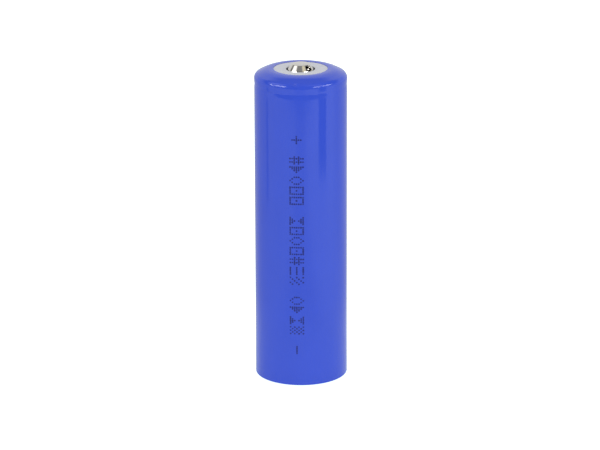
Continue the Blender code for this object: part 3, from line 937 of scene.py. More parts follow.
@dataclass
class Sleeve:
    """The shrink sleeve, drawn in over the bead, over the crimp and under the foot."""

    radius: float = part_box("sleeve")[1][0]
    lip_z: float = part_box("sleeve")[1][2]
    foot_z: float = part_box("sleeve")[0][2]
    wall: float = 0.08 * MM
    opening_r: float = 6.27 * MM
    brow_r: float = 8.0 * MM
    brow_radius: float = 5 * MM
    shoulder_z: float = 72.58 * MM
    shoulder_radius: float = 1.35 * MM
    draw_in: float = 0.02 * MM
    waist_z: float = 70.3 * MM
    waist_half: float = 1.2 * MM
    waist_depth: float = 0.065 * MM
    foot_radius: float = 0.35 * MM
    foot_r: float = 8.4 * MM
    strip_half_deg: float = 9.0
    strip_fade_deg: float = 6.0
    strip_support: float = 0.035 * MM
    hollow_deg: float = 15.0
    hollow_depth: float = 0.022 * MM
    ripple: float = 0.006 * MM
    lip_pleat: float = 0.012 * MM
    foot_pleat: float = 0.035 * MM
    pleat_length: float = 0.9 * MM
    dent_length: float = 0.85 * MM
    dent_width: float = 0.22 * MM
    segments: int = 416
    dents: list[tuple[float, float, float, float]] = field(default_factory=list)

    def __post_init__(self) -> None:
        """Scatters the small dents of the shoulder: angle, slant, height and depth."""
        chance = random.Random(21)
        self.dents = [(math.radians(261.6), -0.9, 72.8 * MM, 0.16 * MM)]
        for number in range(9):
            angle = math.radians(300 + 37 * number + chance.uniform(-9, 9))
            height = chance.uniform(72.2, 72.7) * MM
            self.dents.append((angle, chance.uniform(-1, 1), height, chance.uniform(0.008, 0.02) * MM))

    def profile(self) -> list[Point]:
        """The closed profile, with enough points for the waist and the pleats.

        Returns:
            The (r, z) points, from the lip down the outside and back up the inside.
        """
        outer = rounded(
            [
                (self.opening_r, self.lip_z),
                (self.brow_r, self.lip_z, self.brow_radius),
                (self.radius, self.shoulder_z, self.shoulder_radius),
                (self.radius, self.foot_z, self.foot_radius),
                (self.foot_r, self.foot_z),
            ],
            steps=16,
        )
        near_top = [point for point in outer if point[1] > self.waist_z]
        below = outer[len(near_top):]
        waist_top, waist_foot = self.waist_z + self.waist_half, self.waist_z - 1.8 * self.waist_half
        upper = refined([*near_top, (self.radius, waist_top)], 0.35 * MM)
        middle = refined([(self.radius, waist_top), (self.radius, waist_foot)], 0.14 * MM)
        side = refined([(self.radius, waist_foot), below[0]], 2.5 * MM)
        lower = refined(below, 0.3 * MM)
        return walled([*upper, *middle[1:], *side[1:], *lower[1:]], self.wall)

    def strip_mask(self, angle: float) -> float:
        """1 over the nickel strip at the back, falling to 0 beside it."""
        off = abs((math.degrees(angle) - 90 + 180) % 360 - 180)
        return 1 - eased(off, self.strip_half_deg, self.strip_half_deg + self.strip_fade_deg)

    def girth_mask(self, z: float) -> float:
        """1 along the can, falling to 0 over the board and over the crimp."""
        return eased(z, 5 * MM, 11 * MM) * (1 - eased(z, 70.5 * MM, 71.9 * MM))

    def girth_warp(self, angle: float, r: float, z: float) -> float:
        """The radius of the side: drawn on to the can, in at the waist and hollow beside the strip.

        Args:
            angle: The angle round the axis, in radians.
            r: The point's radius.
            z: The point's height.

        Returns:
            The new radius.
        """
        over_strip = self.strip_mask(angle)
        share = min(1.0, abs(z - self.waist_z) / self.waist_half)
        waist = (self.waist_depth - self.strip_support * over_strip) * (1 - share) ** 2
        beside = math.radians(self.hollow_deg)
        hollow = min(1.0, self.strip_mask(angle - beside) + self.strip_mask(angle + beside))
        hollow *= 1 - over_strip
        wave = (1 + math.sin(3 * angle + z * 210) * math.sin(5 * angle - z * 130)) / 2
        return r - self.draw_in * self.girth_mask(z) - waist - self.hollow_depth * hollow - self.ripple * wave

    def pleat_warp(self, angle: float, r: float, z: float) -> float:
        """The height of the film near its two openings, where it is gathered in small pleats.

        Args:
            angle: The angle round the axis, in radians.
            r: The point's radius.
            z: The point's height.

        Returns:
            The new height.
        """
        at_lip = z > self.waist_z
        edge_r, reach = (self.opening_r, self.lip_pleat) if at_lip else (self.foot_r, self.foot_pleat)
        near = math.exp(-abs(r - edge_r) / self.pleat_length) * reach
        pleat = math.sin(46 * angle + 2.2 * math.sin(5 * angle)) * math.sin(17 * angle + 1.0)
        return z + pleat * near - (near if at_lip else -near)

    def warp(self, angle: float, r: float, z: float) -> Point:
        """Draws the film in at the side, gathers it at its openings and dents its shoulder.

        Args:
            angle: The angle round the axis, in radians.
            r: The point's radius.
            z: The point's height.

        Returns:
            The new radius and height.
        """
        if r > self.radius - 0.4 * MM and self.foot_z + MM < z < self.shoulder_z - MM:
            r = self.girth_warp(angle, r, z)
        if r < self.radius - 0.7 * MM:
            z = self.pleat_warp(angle, r, z)
        for where, slant, height, depth in self.dents:
            along = ((angle - where + math.pi) % TAU - math.pi) * r
            if abs(along) > 3 * MM or abs(z - height) > 2 * MM:
                continue
            across = (z - height) - slant * along * 0.35
            fall = depth * math.exp(-((along / self.dent_length) ** 2) - (across / self.dent_width) ** 2)
            r -= fall
            z -= fall
        return r, z

    def build(self) -> None:
        """Makes the sleeve."""
        mesh = turned("shrink_sleeve", self.profile(), self.segments, self.warp)
        settle(placed("shrink_sleeve", mesh, Finish.FILM), "blue_film", "sleeve")


class Mark(Enum):
    """The marks of the print, seven rows of five dots each. None of them is a letter or a digit."""

    BLANK = (".....",) * 7
    PLUS = (".....", "..#..", "..#..", "#####", "..#..", "..#..", ".....")
    MINUS = (".....", ".....", ".....", "#####", ".....", ".....", ".....")
    BARS = ("#####", ".....", ".....", "#####", ".....", ".....", "#####")
    DIAMOND = ("..#..", ".#.#.", "#...#", "#...#", "#...#", ".#.#.", "..#..")
    TARGET = ("#####", "#...#", "#...#", "#.#.#", "#...#", "#...#", "#####")
    WEAVE = (".#.#.", ".#.#.", "#####", ".#.#.", "#####", ".#.#.", ".#.#.")
    GLASS = ("#####", ".###.", "..#..", ".....", "..#..", ".###.", "#####")
    CHECK = ("#.#.#", ".#.#.", "#.#.#", ".#.#.", "#.#.#", ".#.#.", "#.#.#")
    STEPS = ("#....", "##...", "###..", "####.", "###..", "##...", "#....")
    HATCH = ("#..#.", "..#..", ".#..#", "#..#.", "..#..", ".#..#", "#..#.")


@dataclass
class Print:
    """One line of dots down the front, with a mark for each pole and plain marks between."""

    radius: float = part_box("sleeve")[1][0]
    line: tuple[Mark, ...] = (
        Mark.PLUS,
        Mark.BLANK,
        Mark.WEAVE, Mark.STEPS, Mark.DIAMOND, Mark.TARGET, Mark.TARGET, Mark.BLANK,
        Mark.GLASS, Mark.TARGET, Mark.DIAMOND, Mark.TARGET, Mark.WEAVE, Mark.BARS, Mark.HATCH, Mark.BLANK,
        Mark.DIAMOND, Mark.STEPS, Mark.GLASS, Mark.CHECK, Mark.BLANK,
        Mark.MINUS,
    )
    first_z: float = 59.75 * MM
    pitch: float = 2.42 * MM
    row_gap: float = 0.5 * MM
    offset: float = -1.02 * MM
    dot_r: float = 0.205 * MM
    dot_height: float = 0.012 * MM
    sunk: float = 0.004 * MM
    sides: int = 12

    def dots(self) -> bpy.types.Mesh:
        """The dots' centres as loose points: x along the girth, z along the cell.

        Returns:
            The mesh of points.
        """
        column_gap = self.pitch / 6
        points = []
        for number, mark in enumerate(self.line):
            centre_z = self.first_z - number * self.pitch
            for row, dots in enumerate(mark.value):
                for column, dot in enumerate(dots):
                    if dot == "#":
                        x = self.offset + (3 - row) * self.row_gap
                        points.append((x, 0, centre_z - (column - 2) * column_gap))
        return scattered("print_points", points)

    def build(self) -> None:
        """Puts a flat drop of ink on each point and wraps the line round the sleeve."""
        sizes = {"Girth Radius": self.radius - self.sunk, "Dot Radius": self.dot_r,
                 "Ink Height": self.dot_height, "Sides": self.sides}
        tree = Recipe("ink_dots", sizes)
        given = tree.given
        drop = tree.node("GeometryNodeMeshCylinder", None, {
            "Vertices": given["Sides"], "Radius": given["Dot Radius"], "Depth": given["Ink Height"]})
        spread = tree.node("FunctionNodeRandomValue", None, {2: 0.86, 3: 1.08, "Seed": 7})
        drops = tree.put(drop.outputs[0], Rotation=(math.pi / 2, 0, 0), Scale=spread.outputs[1])
        real = tree.node("GeometryNodeRealizeInstances", None, {0: drops}).outputs[0]
        across, out, up = tree.axes(tree.node("GeometryNodeInputPosition").outputs[0])
        girth = tree.size("Girth Radius")
        angle, reach = across / girth, girth - out
        where = tree.vector(reach * angle.sine(), 0 - reach * (angle + math.pi / 2).sine(), up)
        wrapped = tree.node("GeometryNodeSetPosition", None, {"Geometry": real, "Position": where})
        piece = tree.bake("print_dots", wrapped.outputs[0], Finish.INK, self.dots())
        settle(piece, "blue_film")


# ---------------------------------------------------------------- top end


@dataclass
class TopEnd:
    """The white washer and the button in its middle."""

    washer_top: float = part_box("top_insulating_washer")[1][2]
    washer_hole_r: float = 3.33 * MM
    washer_bend_r: float = 7.0 * MM
    washer_r: float = 8.9 * MM
    washer_drop: float = 0.5 * MM
    washer_wall: float = 0.2 * MM
    button_top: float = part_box("button_terminal")[1][2]
    flange_top: float = 73.47 * MM
    flange_r: float = 4.6 * MM
    flat_r: float = 1.1 * MM
    crown: float = 0.17 * MM
    rim_r: float = 2.08 * MM
    skirt_r: float = 2.95 * MM
    skirt_z: float = 73.77 * MM
    base_r: float = 3.05 * MM
    button_wall: float = 0.15 * MM
    windows_deg: tuple[float, ...] = (-43, 137)
    window_half: float = 0.75 * MM
    window_height: float = 1.25 * MM
    window_lift: float = 0.08 * MM
    window_corner: float = 0.28 * MM

    def washer_warp(self, angle: float, r: float, z: float) -> Point:
        """Lets the washer's hole be a little out of round and its face a little uneven.

        Args:
            angle: The angle round the axis, in radians.
            r: The point's radius.
            z: The point's height.

        Returns:
            The new radius and height.
        """
        rim = max(0.0, 1 - (r - self.washer_hole_r) / (0.4 * MM))
        r += 0.03 * MM * rim * math.sin(2 * angle + 0.6)
        return r, z - 0.006 * MM * (1 + math.sin(7 * angle + r * 900))

    def washer(self) -> None:
        """Makes the fibre washer, with the soft edge of a punched hole."""
        outer = rounded([
            (self.washer_hole_r, self.washer_top - 0.05 * MM),
            (self.washer_hole_r, self.washer_top, 0.045 * MM),
            (self.washer_bend_r, self.washer_top, 1.5 * MM),
            (self.washer_r, self.washer_top - self.washer_drop),
        ], steps=5)
        profile = walled(refined(outer[1:], 0.3 * MM), self.washer_wall)
        mesh = turned("fibre_washer", profile, 160, self.washer_warp)
        settle(placed("fibre_washer", mesh, Finish.WHITE_FIBRE), "white_fibre", "top_insulating_washer")

    def button(self) -> None:
        """Makes the pressed button, with its two gas windows and their rounded corners."""
        outer = rounded([
            (0, self.button_top),
            (self.flat_r, self.button_top, 2.5 * MM),
            (self.rim_r, self.button_top - self.crown, 0.22 * MM),
            (self.skirt_r, self.skirt_z, 0.25 * MM),
            (self.base_r, self.flange_top, 0.12 * MM),
            (self.flange_r, self.flange_top),
        ], steps=8)
        mesh = turned("button_cap", walled(refined(outer, 0.25 * MM), self.button_wall), 128)
        button = placed("button_cap", mesh, Finish.NICKEL)
        cutters = []
        foot = self.flange_top + self.window_lift
        low = (1.2 * MM, -self.window_half, foot)
        high = (4 * MM, self.window_half, foot + self.window_height)
        for number, angle in enumerate(self.windows_deg):
            hole = block(f"window_{number}", low, high, self.window_corner, 5)
            way = Vector((math.cos(math.radians(angle)), math.sin(math.radians(angle)), 0))
            turn = Vector((1, 0, 0)).rotation_difference(way)
            for vertex in hole.vertices:
                vertex.co.rotate(turn)
            cutters.append(placed(f"window_{number}", hole, Finish.NICKEL))
        settle(cut(button, *cutters), "nickel", "button_terminal")

    def build(self) -> None:
        """Makes the top end."""
        self.washer()
        self.button()


# ---------------------------------------------------------------- bottom end


@dataclass
class BottomEnd:
    """The negative contact, which is the foot that the cell stands on."""

    contact_r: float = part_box("negative_contact")[1][0]
    contact_top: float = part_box("negative_contact")[1][2]
    groove_r: float = 6.6 * MM
    groove_half: float = 0.15 * MM
    groove_depth: float = 0.03 * MM

    def build(self) -> None:
        """Makes the contact, with a rolled edge and a faint ring pressed into its face."""
        outer = rounded([
            (0, self.contact_top),
            (self.contact_r, self.contact_top, 0.06 * MM),
            (self.contact_r, 0, 0.1 * MM),
            (self.groove_r + self.groove_half, 0),
            (self.groove_r, self.groove_depth, 0.05 * MM),
            (self.groove_r - self.groove_half, 0),
            (0, 0),
        ], steps=4)
        mesh = turned("contact_plate", outer, 160)
        settle(placed("contact_plate", mesh, Finish.NICKEL), "nickel", "negative_contact")


# ---------------------------------------------------------------- can and cap stack


@dataclass
class CrimpedCan:
    """The drawn can, with its bead and its crimp, and the paper washer that lies on the crimp."""

    radius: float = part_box("can")[1][0]
    foot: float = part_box("can")[0][2]
    top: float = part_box("can")[1][2]
    wall: float = 0.25 * MM
    lip_r: float = 8.9 * MM
    crimp_radius: float = 0.9 * MM
    foot_radius: float = 0.6 * MM
    bead_z: float = 70.12 * MM
    bead_r: float = 9.2 * MM
    bead_half_mouth: float = 0.85 * MM
    bead_half_floor: float = 0.35 * MM
    mouth_radius: float = 0.38 * MM
    floor_radius: float = 0.25 * MM
    paper_hole_r: float = 7.2 * MM

    def build(self) -> None:
        """Makes the can and the paper washer."""
        half_mouth, half_floor = self.bead_half_mouth, self.bead_half_floor
        outer = rounded([
            (self.lip_r, self.top),
            (self.radius, self.top, self.crimp_radius),
            (self.radius, self.bead_z + half_mouth, self.mouth_radius),
            (self.bead_r, self.bead_z + half_floor, self.floor_radius),
            (self.bead_r, self.bead_z - half_floor, self.floor_radius),
            (self.radius, self.bead_z - half_mouth, self.mouth_radius),
            (self.radius, self.foot, self.foot_radius),
            (0, self.foot),
        ])
        mesh = turned("crimped_can", walled(outer, self.wall), 192)
        settle(placed("crimped_can", mesh, Finish.DRAWN_STEEL), "nickel_steel", "can")
        node = "crimp_insulating_washer"
        settle(ring("crimp_paper", node, self.paper_hole_r, 0.01 * MM, Finish.FISH_PAPER), "fish_paper", node)


@dataclass
class SafetyCap:
    """The stack under the crimp: gasket, cap, PTC ring, vent disc and the plate that it breaks from."""

    stack_r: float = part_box("positive_cap")[1][0]
    cap_top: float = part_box("positive_cap")[1][2]
    cap_wall: float = 0.25 * MM
    cap_rim_top: float = 72.09 * MM
    plateau_r: float = 5.6 * MM
    slope_r: float = 8.1 * MM
    cap_bend: float = 0.4 * MM
    gasket_wall: float = 0.22 * MM
    gasket_corner: float = 0.63 * MM
    gasket_top_lip_r: float = 8.75 * MM
    gasket_floor_lip_r: float = 8.0 * MM
    cap_hole_r: float = 0.5 * MM
    ptc_hole_r: float = 7.5 * MM
    vent_wall: float = 0.15 * MM
    vent_nub_top: float = 70.62 * MM
    vent_nub_r: float = 0.8 * MM
    vent_nub_height: float = 0.23 * MM
    vent_dish_height: float = 0.36 * MM
    vent_dish_fall: float = 0.13 * MM
    vent_dish_r: float = 4.5 * MM
    vent_step_r: float = 6.9 * MM
    score_r: float = 3.2 * MM
    score_half: float = 0.1 * MM
    score_depth: float = 0.06 * MM
    plate_hole_r: float = 0.6 * MM
    plate_circle_r: float = 4.6 * MM

    def gasket(self) -> None:
        """Makes the gasket, folded round the edge of the stack."""
        radius, bottom, top = extent("sealing_gasket")
        wall, channel_r, floor = self.gasket_wall, self.stack_r + 0.05 * MM, bottom + self.gasket_wall
        soft = 0.05 * MM
        loop = rounded([
            (self.gasket_top_lip_r, top, soft),
            (radius, top, self.gasket_corner),
            (radius, bottom, soft),
            (self.gasket_floor_lip_r, bottom, soft),
            (self.gasket_floor_lip_r, floor, soft),
            (channel_r, floor, soft),
            (channel_r, top - wall, soft),
            (self.gasket_top_lip_r, top - wall, soft),
        ], steps=4)
        piece = placed("folded_gasket", turned("folded_gasket", loop, 160), Finish.POLYMER)
        settle(piece, "polymer", "sealing_gasket")

    def cap(self) -> None:
        """Makes the pressed cap and drills the gas holes of its slope."""
        outer = rounded([
            (0, self.cap_top),
            (self.plateau_r, self.cap_top, self.cap_bend),
            (self.slope_r, self.cap_rim_top, self.cap_bend),
            (self.stack_r, self.cap_rim_top),
        ])
        shell = turned("pressed_cap", walled(outer, self.cap_wall), 128)
        holes = {"Hole Radius": self.cap_hole_r, "Circle Radius": (self.plateau_r + self.slope_r) / 2,
                 "Count": 4, "First Angle": TAU / 8, "Middle": (self.cap_top + self.cap_rim_top) / 2}
        settle(perforated("pressed_cap", shell, holes, Finish.NICKEL), "nickel_steel", "positive_cap")

    def vent(self) -> None:
        """Makes the scored disc, whose middle snaps up while its rim stays clamped."""
        rim = extent("vent_disc")[2]
        nub_foot_r = self.vent_nub_r + 0.5 * MM
        dish = self.vent_nub_top + self.vent_dish_height
        slope = self.vent_dish_fall / (self.vent_dish_r - nub_foot_r)
        score_top = dish - (self.vent_dish_r - self.score_r) * slope
        outer = rounded([
            (0, self.vent_nub_top),
            (self.vent_nub_r, self.vent_nub_top, 0.15 * MM),
            (nub_foot_r, self.vent_nub_top + self.vent_nub_height, 0.15 * MM),
            (self.score_r - self.score_half, score_top),
            (self.score_r, score_top - self.score_depth),
            (self.score_r + self.score_half, score_top),
            (self.vent_dish_r, dish, 0.3 * MM),
            (self.vent_step_r, rim, 0.3 * MM),
            (self.stack_r, rim),
        ], steps=5)
        mesh = turned("scored_vent_disc", walled(outer, self.vent_wall), 160)
        piece = placed("scored_vent_disc", mesh, Finish.ALUMINIUM)
        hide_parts("vent_disc")
        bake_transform(piece)
        log.info("%-22s %6d faces, blended from cell to vent", piece.name, len(mesh.polygons))

    def rings(self) -> None:
        """Makes the PTC ring, the ring under the vent disc, and the plate with its gas holes."""
        washer = ring("ptc_washer", "ptc_ring", self.ptc_hole_r, 0.04 * MM, Finish.PTC)
        settle(washer, "ptc_compound", "ptc_ring")
        spacer = ring("vent_spacer", "interrupter_ring", self.vent_step_r, 0.08 * MM, Finish.POLYMER)
        settle(spacer, "polymer", "interrupter_ring")
        radius, bottom, top = extent("interrupter_plate")
        plate = hoop("weld_plate", 0, radius, bottom, top, 0.05 * MM)
        holes = {"Hole Radius": self.plate_hole_r, "Circle Radius": self.plate_circle_r,
                 "Count": 6, "First Angle": 0.0, "Middle": (bottom + top) / 2}
        settle(perforated("weld_plate", plate, holes, Finish.ALUMINIUM), "aluminium", "interrupter_plate")

    def build(self) -> None:
        """Makes the whole stack."""
        self.gasket()
        self.cap()
        self.vent()
        self.rings()


# ---------------------------------------------------------------- winding


@dataclass(frozen=True)
class Layer:
    """One wound layer: where it lies within a turn, and the turns that it starts and ends at."""

    node: str
    slot: str
    finish: Finish
    offset: float
    wall: float
    start: float
    end: float
    room_from: float


@dataclass
class Winding:
    """The wound roll of twenty turns. Its layers step out where a tab lies between two of them."""

    core_r: float = 2.05 * MM
    pitch: float = 0.359 * MM
    core_room: float = 0.35 * MM
    rim_room: float = 0.23 * MM
    rim_room_from: float = 19.0
    steps_a_turn: int = 90
    pin_hole_r: float = 1.15 * MM
    pin_slit: float = 0.06 * MM
    tape_wall: float = 0.06 * MM
    upper_hole_r: float = 1.7 * MM
    lower_hole_r: float = 2.2 * MM
    gas_hole_r: float = 1.3 * MM
    gas_circle_r: float = 6.2 * MM
    layers: tuple[Layer, ...] = (
        Layer("separator_inner", "separator_film", Finish.SEPARATOR, 0, 0.016 * MM, 0, 20.0, 1.15),
        Layer("cathode_sheet", "cathode_coating", Finish.CATHODE, 0.024 * MM, 0.142 * MM, 1.0, 18.75, 0.35),
        Layer("separator_outer", "separator_film", Finish.SEPARATOR, 0.174 * MM, 0.016 * MM, 0, 20.0, 0.35),
        Layer("anode_sheet", "anode_coating", Finish.ANODE, 0.198 * MM, 0.153 * MM, 1.15, 18.95, 0.35),
    )

    def sheet(self, layer: Layer) -> None:
        """Winds one layer: a line of points laid on the spiral and swept with the sheet's section.

        Args:
            layer: The layer to wind.
        """
        low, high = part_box(layer.node)
        sizes = {
            "Count": int((layer.end - layer.start) * self.steps_a_turn) + 1,
            "First Turn": float(layer.start),
            "Start Radius": self.core_r + layer.offset + layer.wall / 2,
            "Pitch": self.pitch,
            "Core Room": self.core_room,
            "Rim Room": self.rim_room,
            "Wall": layer.wall,
            "Height": high[2] - low[2],
            "Middle": (high[2] + low[2]) / 2,
        }
        tree = Recipe(f"wound_{layer.node}", sizes)
        line = tree.node("GeometryNodeMeshLine", None, {"Count": tree.given["Count"]})
        turn = tree.term("GeometryNodeInputIndex") / self.steps_a_turn + tree.size("First Turn")
        core = turn.ramp(layer.room_from, layer.room_from + 0.6) * tree.size("Core Room")
        rim = turn.ramp(self.rim_room_from, self.rim_room_from + 0.5) * tree.size("Rim Room")
        radius = turn * tree.size("Pitch") + tree.size("Start Radius") + core + rim
        angle = turn * TAU - TAU / 12
        spot = tree.vector(radius * (angle + TAU / 4).sine(), radius * angle.sine(), tree.size("Middle"))
        laid = tree.node("GeometryNodeSetPosition", None, {"Geometry": line.outputs[0], "Position": spot})
        path = tree.node("GeometryNodeMeshToCurve", None, {0: laid.outputs[0]})
        upright = tree.node("GeometryNodeSetCurveNormal", {"mode": "Z_UP"}, {"Curve": path.outputs[0]})
        section = tree.node("GeometryNodeCurvePrimitiveQuadrilateral", None, {
            "Width": tree.given["Wall"],
            "Height": tree.given["Height"],
        })
        swept = tree.node("GeometryNodeCurveToMesh", None, {
            "Curve": upright.outputs[0],
            "Profile Curve": section.outputs[0],
            "Fill Caps": True,
        })
        piece = tree.bake(f"wound_{layer.node}", swept.outputs[0], layer.finish)
        settle(piece, layer.slot, layer.node)

    def core_and_tapes(self) -> None:
        """Makes the rolled pin in the core and the two bands of tape round the roll."""
        _, bottom, top = extent("centre_pin")
        pin = ring("rolled_pin", "centre_pin", self.pin_hole_r, 0.08 * MM, Finish.DRAWN_STEEL, 64)
        low, high = (0, -self.pin_slit, bottom - MM), (2 * MM, self.pin_slit, top + MM)
        settle(notched(pin, low, high, 0.01 * MM), "nickel_steel", "centre_pin")
        for node in ("lower_roll_tape", "upper_roll_tape"):
            inner = extent(node)[0] - self.tape_wall
            band = ring(f"{node}_band", node, inner, 0.01 * MM, Finish.POLYIMIDE, 192)
            settle(band, "polyimide", node)

    def insulators(self) -> None:
        """Makes the discs above and below the roll, open where the tabs and the gas pass."""
        tab_x, tab_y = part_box("positive_tab")[1][0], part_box("negative_tab")[0][1]
        radius, bottom, top = extent("upper_insulator")
        mesh = hoop("upper_roll_disc", self.upper_hole_r, radius, bottom, top, 0.04 * MM)
        holes = {"Hole Radius": self.gas_hole_r, "Circle Radius": self.gas_circle_r,
                 "Count": 3, "First Angle": TAU / 6, "Middle": (bottom + top) / 2}
        upper = perforated("upper_roll_disc", mesh, holes, Finish.POLYMER)
        low, high = (tab_x - 0.3 * MM, -1.2 * MM, bottom - MM), (tab_x + 0.25 * MM, 1.2 * MM, top + MM)
        settle(notched(upper, low, high), "polymer", "upper_insulator")
        _, bottom, top = extent("lower_insulator")
        lower = ring("lower_roll_disc", "lower_insulator", self.lower_hole_r, 0.04 * MM, Finish.POLYMER)
        low, high = (-1.8 * MM, -11 * MM, bottom - MM), (1.8 * MM, tab_y + 0.45 * MM, top + MM)
        settle(notched(lower, low, high), "polymer", "lower_insulator")

    def build(self) -> None:
        """Makes the roll and what holds it."""
        for layer in self.layers:
            self.sheet(layer)
        self.core_and_tapes()
        self.insulators()


# ---------------------------------------------------------------- strips and welds


@dataclass
class Conductors:
    """The two tabs of the roll, the strip down the back, its tape, the link, and their welds."""

    tab_wall: float = 0.1 * MM
    bend: float = 0.25 * MM
    can_r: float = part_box("can")[1][0]
    weld_r: float = 0.32 * MM
    weld_height: float = 0.018 * MM
    fold_z: float = 69.35 * MM
    link_fold_x: float = 5 * MM
    strip_wall: float = 0.06 * MM
    strip_bend_z: float = 72.44 * MM
    tape_wall: float = 0.02 * MM

    def tabs(self) -> None:
        """Makes the roll's two tabs, and the link from the can's floor down to the board."""
        low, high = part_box("positive_tab")
        half = self.tab_wall / 2
        weld_z = high[2] - half
        path = [
            (high[0] - half, low[2]),
            (high[0] - half, self.fold_z, self.bend),
            (low[0] + half, self.fold_z, self.bend),
            (low[0] + half, weld_z, self.bend),
            (1.8 * MM, weld_z),
        ]
        mesh = strip("cathode_tab", rounded(path), self.tab_wall, high[1] - low[1])
        settle(placed("cathode_tab", mesh, Finish.ALUMINIUM), "aluminium", "positive_tab")
        low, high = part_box("negative_tab")
        path = [(low[1] + half, high[2]), (low[1] + half, low[2] + half, self.bend), (high[1], low[2] + half)]
        mesh = strip("anode_tab", rounded(path), self.tab_wall, high[0] - low[0], Lay.ALONG_Y)
        settle(placed("anode_tab", mesh, Finish.ROLLED_NICKEL), "nickel", "negative_tab")
        low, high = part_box("negative_link")
        upper, lower = high[2] - half, low[2] + half
        path = [
            (low[0], upper),
            (self.link_fold_x, upper, self.bend),
            (self.link_fold_x, lower, self.bend),
            (high[0], lower),
        ]
        mesh = strip("board_link", rounded(path), self.tab_wall, high[1] - low[1])
        settle(placed("board_link", mesh, Finish.ROLLED_NICKEL), "nickel", "negative_link")

    def back_strip(self) -> None:
        """Makes the long strip and the tape under it, both curved with the can."""
        low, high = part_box("positive_strip")
        wall, middle_r = self.strip_wall, self.can_r + 0.07 * MM
        top, foot = high[2] - wall / 2, low[2] + wall / 2
        path = [
            (3.2 * MM, top),
            (6.3 * MM, top, 1.5 * MM),
            (middle_r, self.strip_bend_z, 0.7 * MM),
            (middle_r, foot, self.bend),
            (8.9 * MM, foot),
        ]
        mesh = strip("back_strip", rounded(path), wall, high[0] - low[0], Lay.ROUND_BACK, 8)
        settle(placed("back_strip", mesh, Finish.ROLLED_NICKEL), "nickel", "positive_strip")
        low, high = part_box("strip_insulating_tape")
        tape_r = self.can_r + 0.02 * MM
        line = [(tape_r, high[2]), (tape_r, low[2])]
        mesh = strip("back_tape", line, self.tape_wall, high[0] - low[0], Lay.ROUND_BACK, 16)
        settle(placed("back_tape", mesh, Finish.POLYIMIDE), "polyimide", "strip_insulating_tape")

    def weld_spots(self) -> list[tuple[float, float, float]]:
        """Where each nugget sits: rows of two or three, across the strip that they hold.

        Returns:
            The places of the nuggets' middles.
        """
        cathode_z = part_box("positive_tab")[1][2] - self.tab_wall
        anode_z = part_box("negative_tab")[0][2] + self.tab_wall
        (link_start, _, link_foot), (link_end, _, link_top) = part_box("negative_link")
        strip_low, strip_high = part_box("positive_strip")
        pair, three = (-1, 1), (-1, 0, 1)
        rows = (
            (0, 0, cathode_z, 0.9 * MM, 0, pair),
            (0, 0.3 * MM, anode_z, 0.55 * MM, 0, pair),
            (link_start + 1.2 * MM, 0, link_top - self.tab_wall, 0, 0.7 * MM, three),
            (link_start + 3.2 * MM, 0, link_top - self.tab_wall, 0, 0.7 * MM, three),
            (link_end - 0.8 * MM, 0, link_foot + self.tab_wall, 0, 0.8 * MM, three),
            (0, 4 * MM, strip_high[2], 0.7 * MM, 0, pair),
            (0, 9.5 * MM, strip_low[2] + self.strip_wall, 0.7 * MM, 0, pair),
        )
        return [(x + n * step_x, y + n * step_y, z) for x, y, z, step_x, step_y, row in rows for n in row]

    def welds(self) -> None:
        """Puts a small flat nugget on every spot where a strip is welded."""
        tree = Recipe("weld_nuggets", {"Radius": self.weld_r, "Flatness": self.weld_height / self.weld_r})
        drop = tree.node("GeometryNodeMeshUVSphere", None, {
            "Segments": 24, "Rings": 8, "Radius": tree.given["Radius"]})
        nuggets = tree.put(drop.outputs[0], Scale=tree.vector(1.0, 1.0, tree.given["Flatness"]))
        seeds = scattered("weld_points", self.weld_spots())
        settle(tree.bake("weld_nuggets", nuggets, Finish.NICKEL, seeds), "nickel")

    def build(self) -> None:
        """Makes every conductor."""
        self.tabs()
        self.back_strip()
        self.welds()


# ---------------------------------------------------------------- protection board


@dataclass(frozen=True)
class Chip:
    """A moulded chip with a row of bent leads out of each long side."""

    node: str
    middle: Point
    size: Point
    leads: int
    pitch: float
    reach: float = 0.7 * MM

    def lead_x(self) -> list[float]:
        """Where its leads stand along its side."""
        return [self.middle[0] + (i - (self.leads - 1) / 2) * self.pitch for i in range(self.leads)]


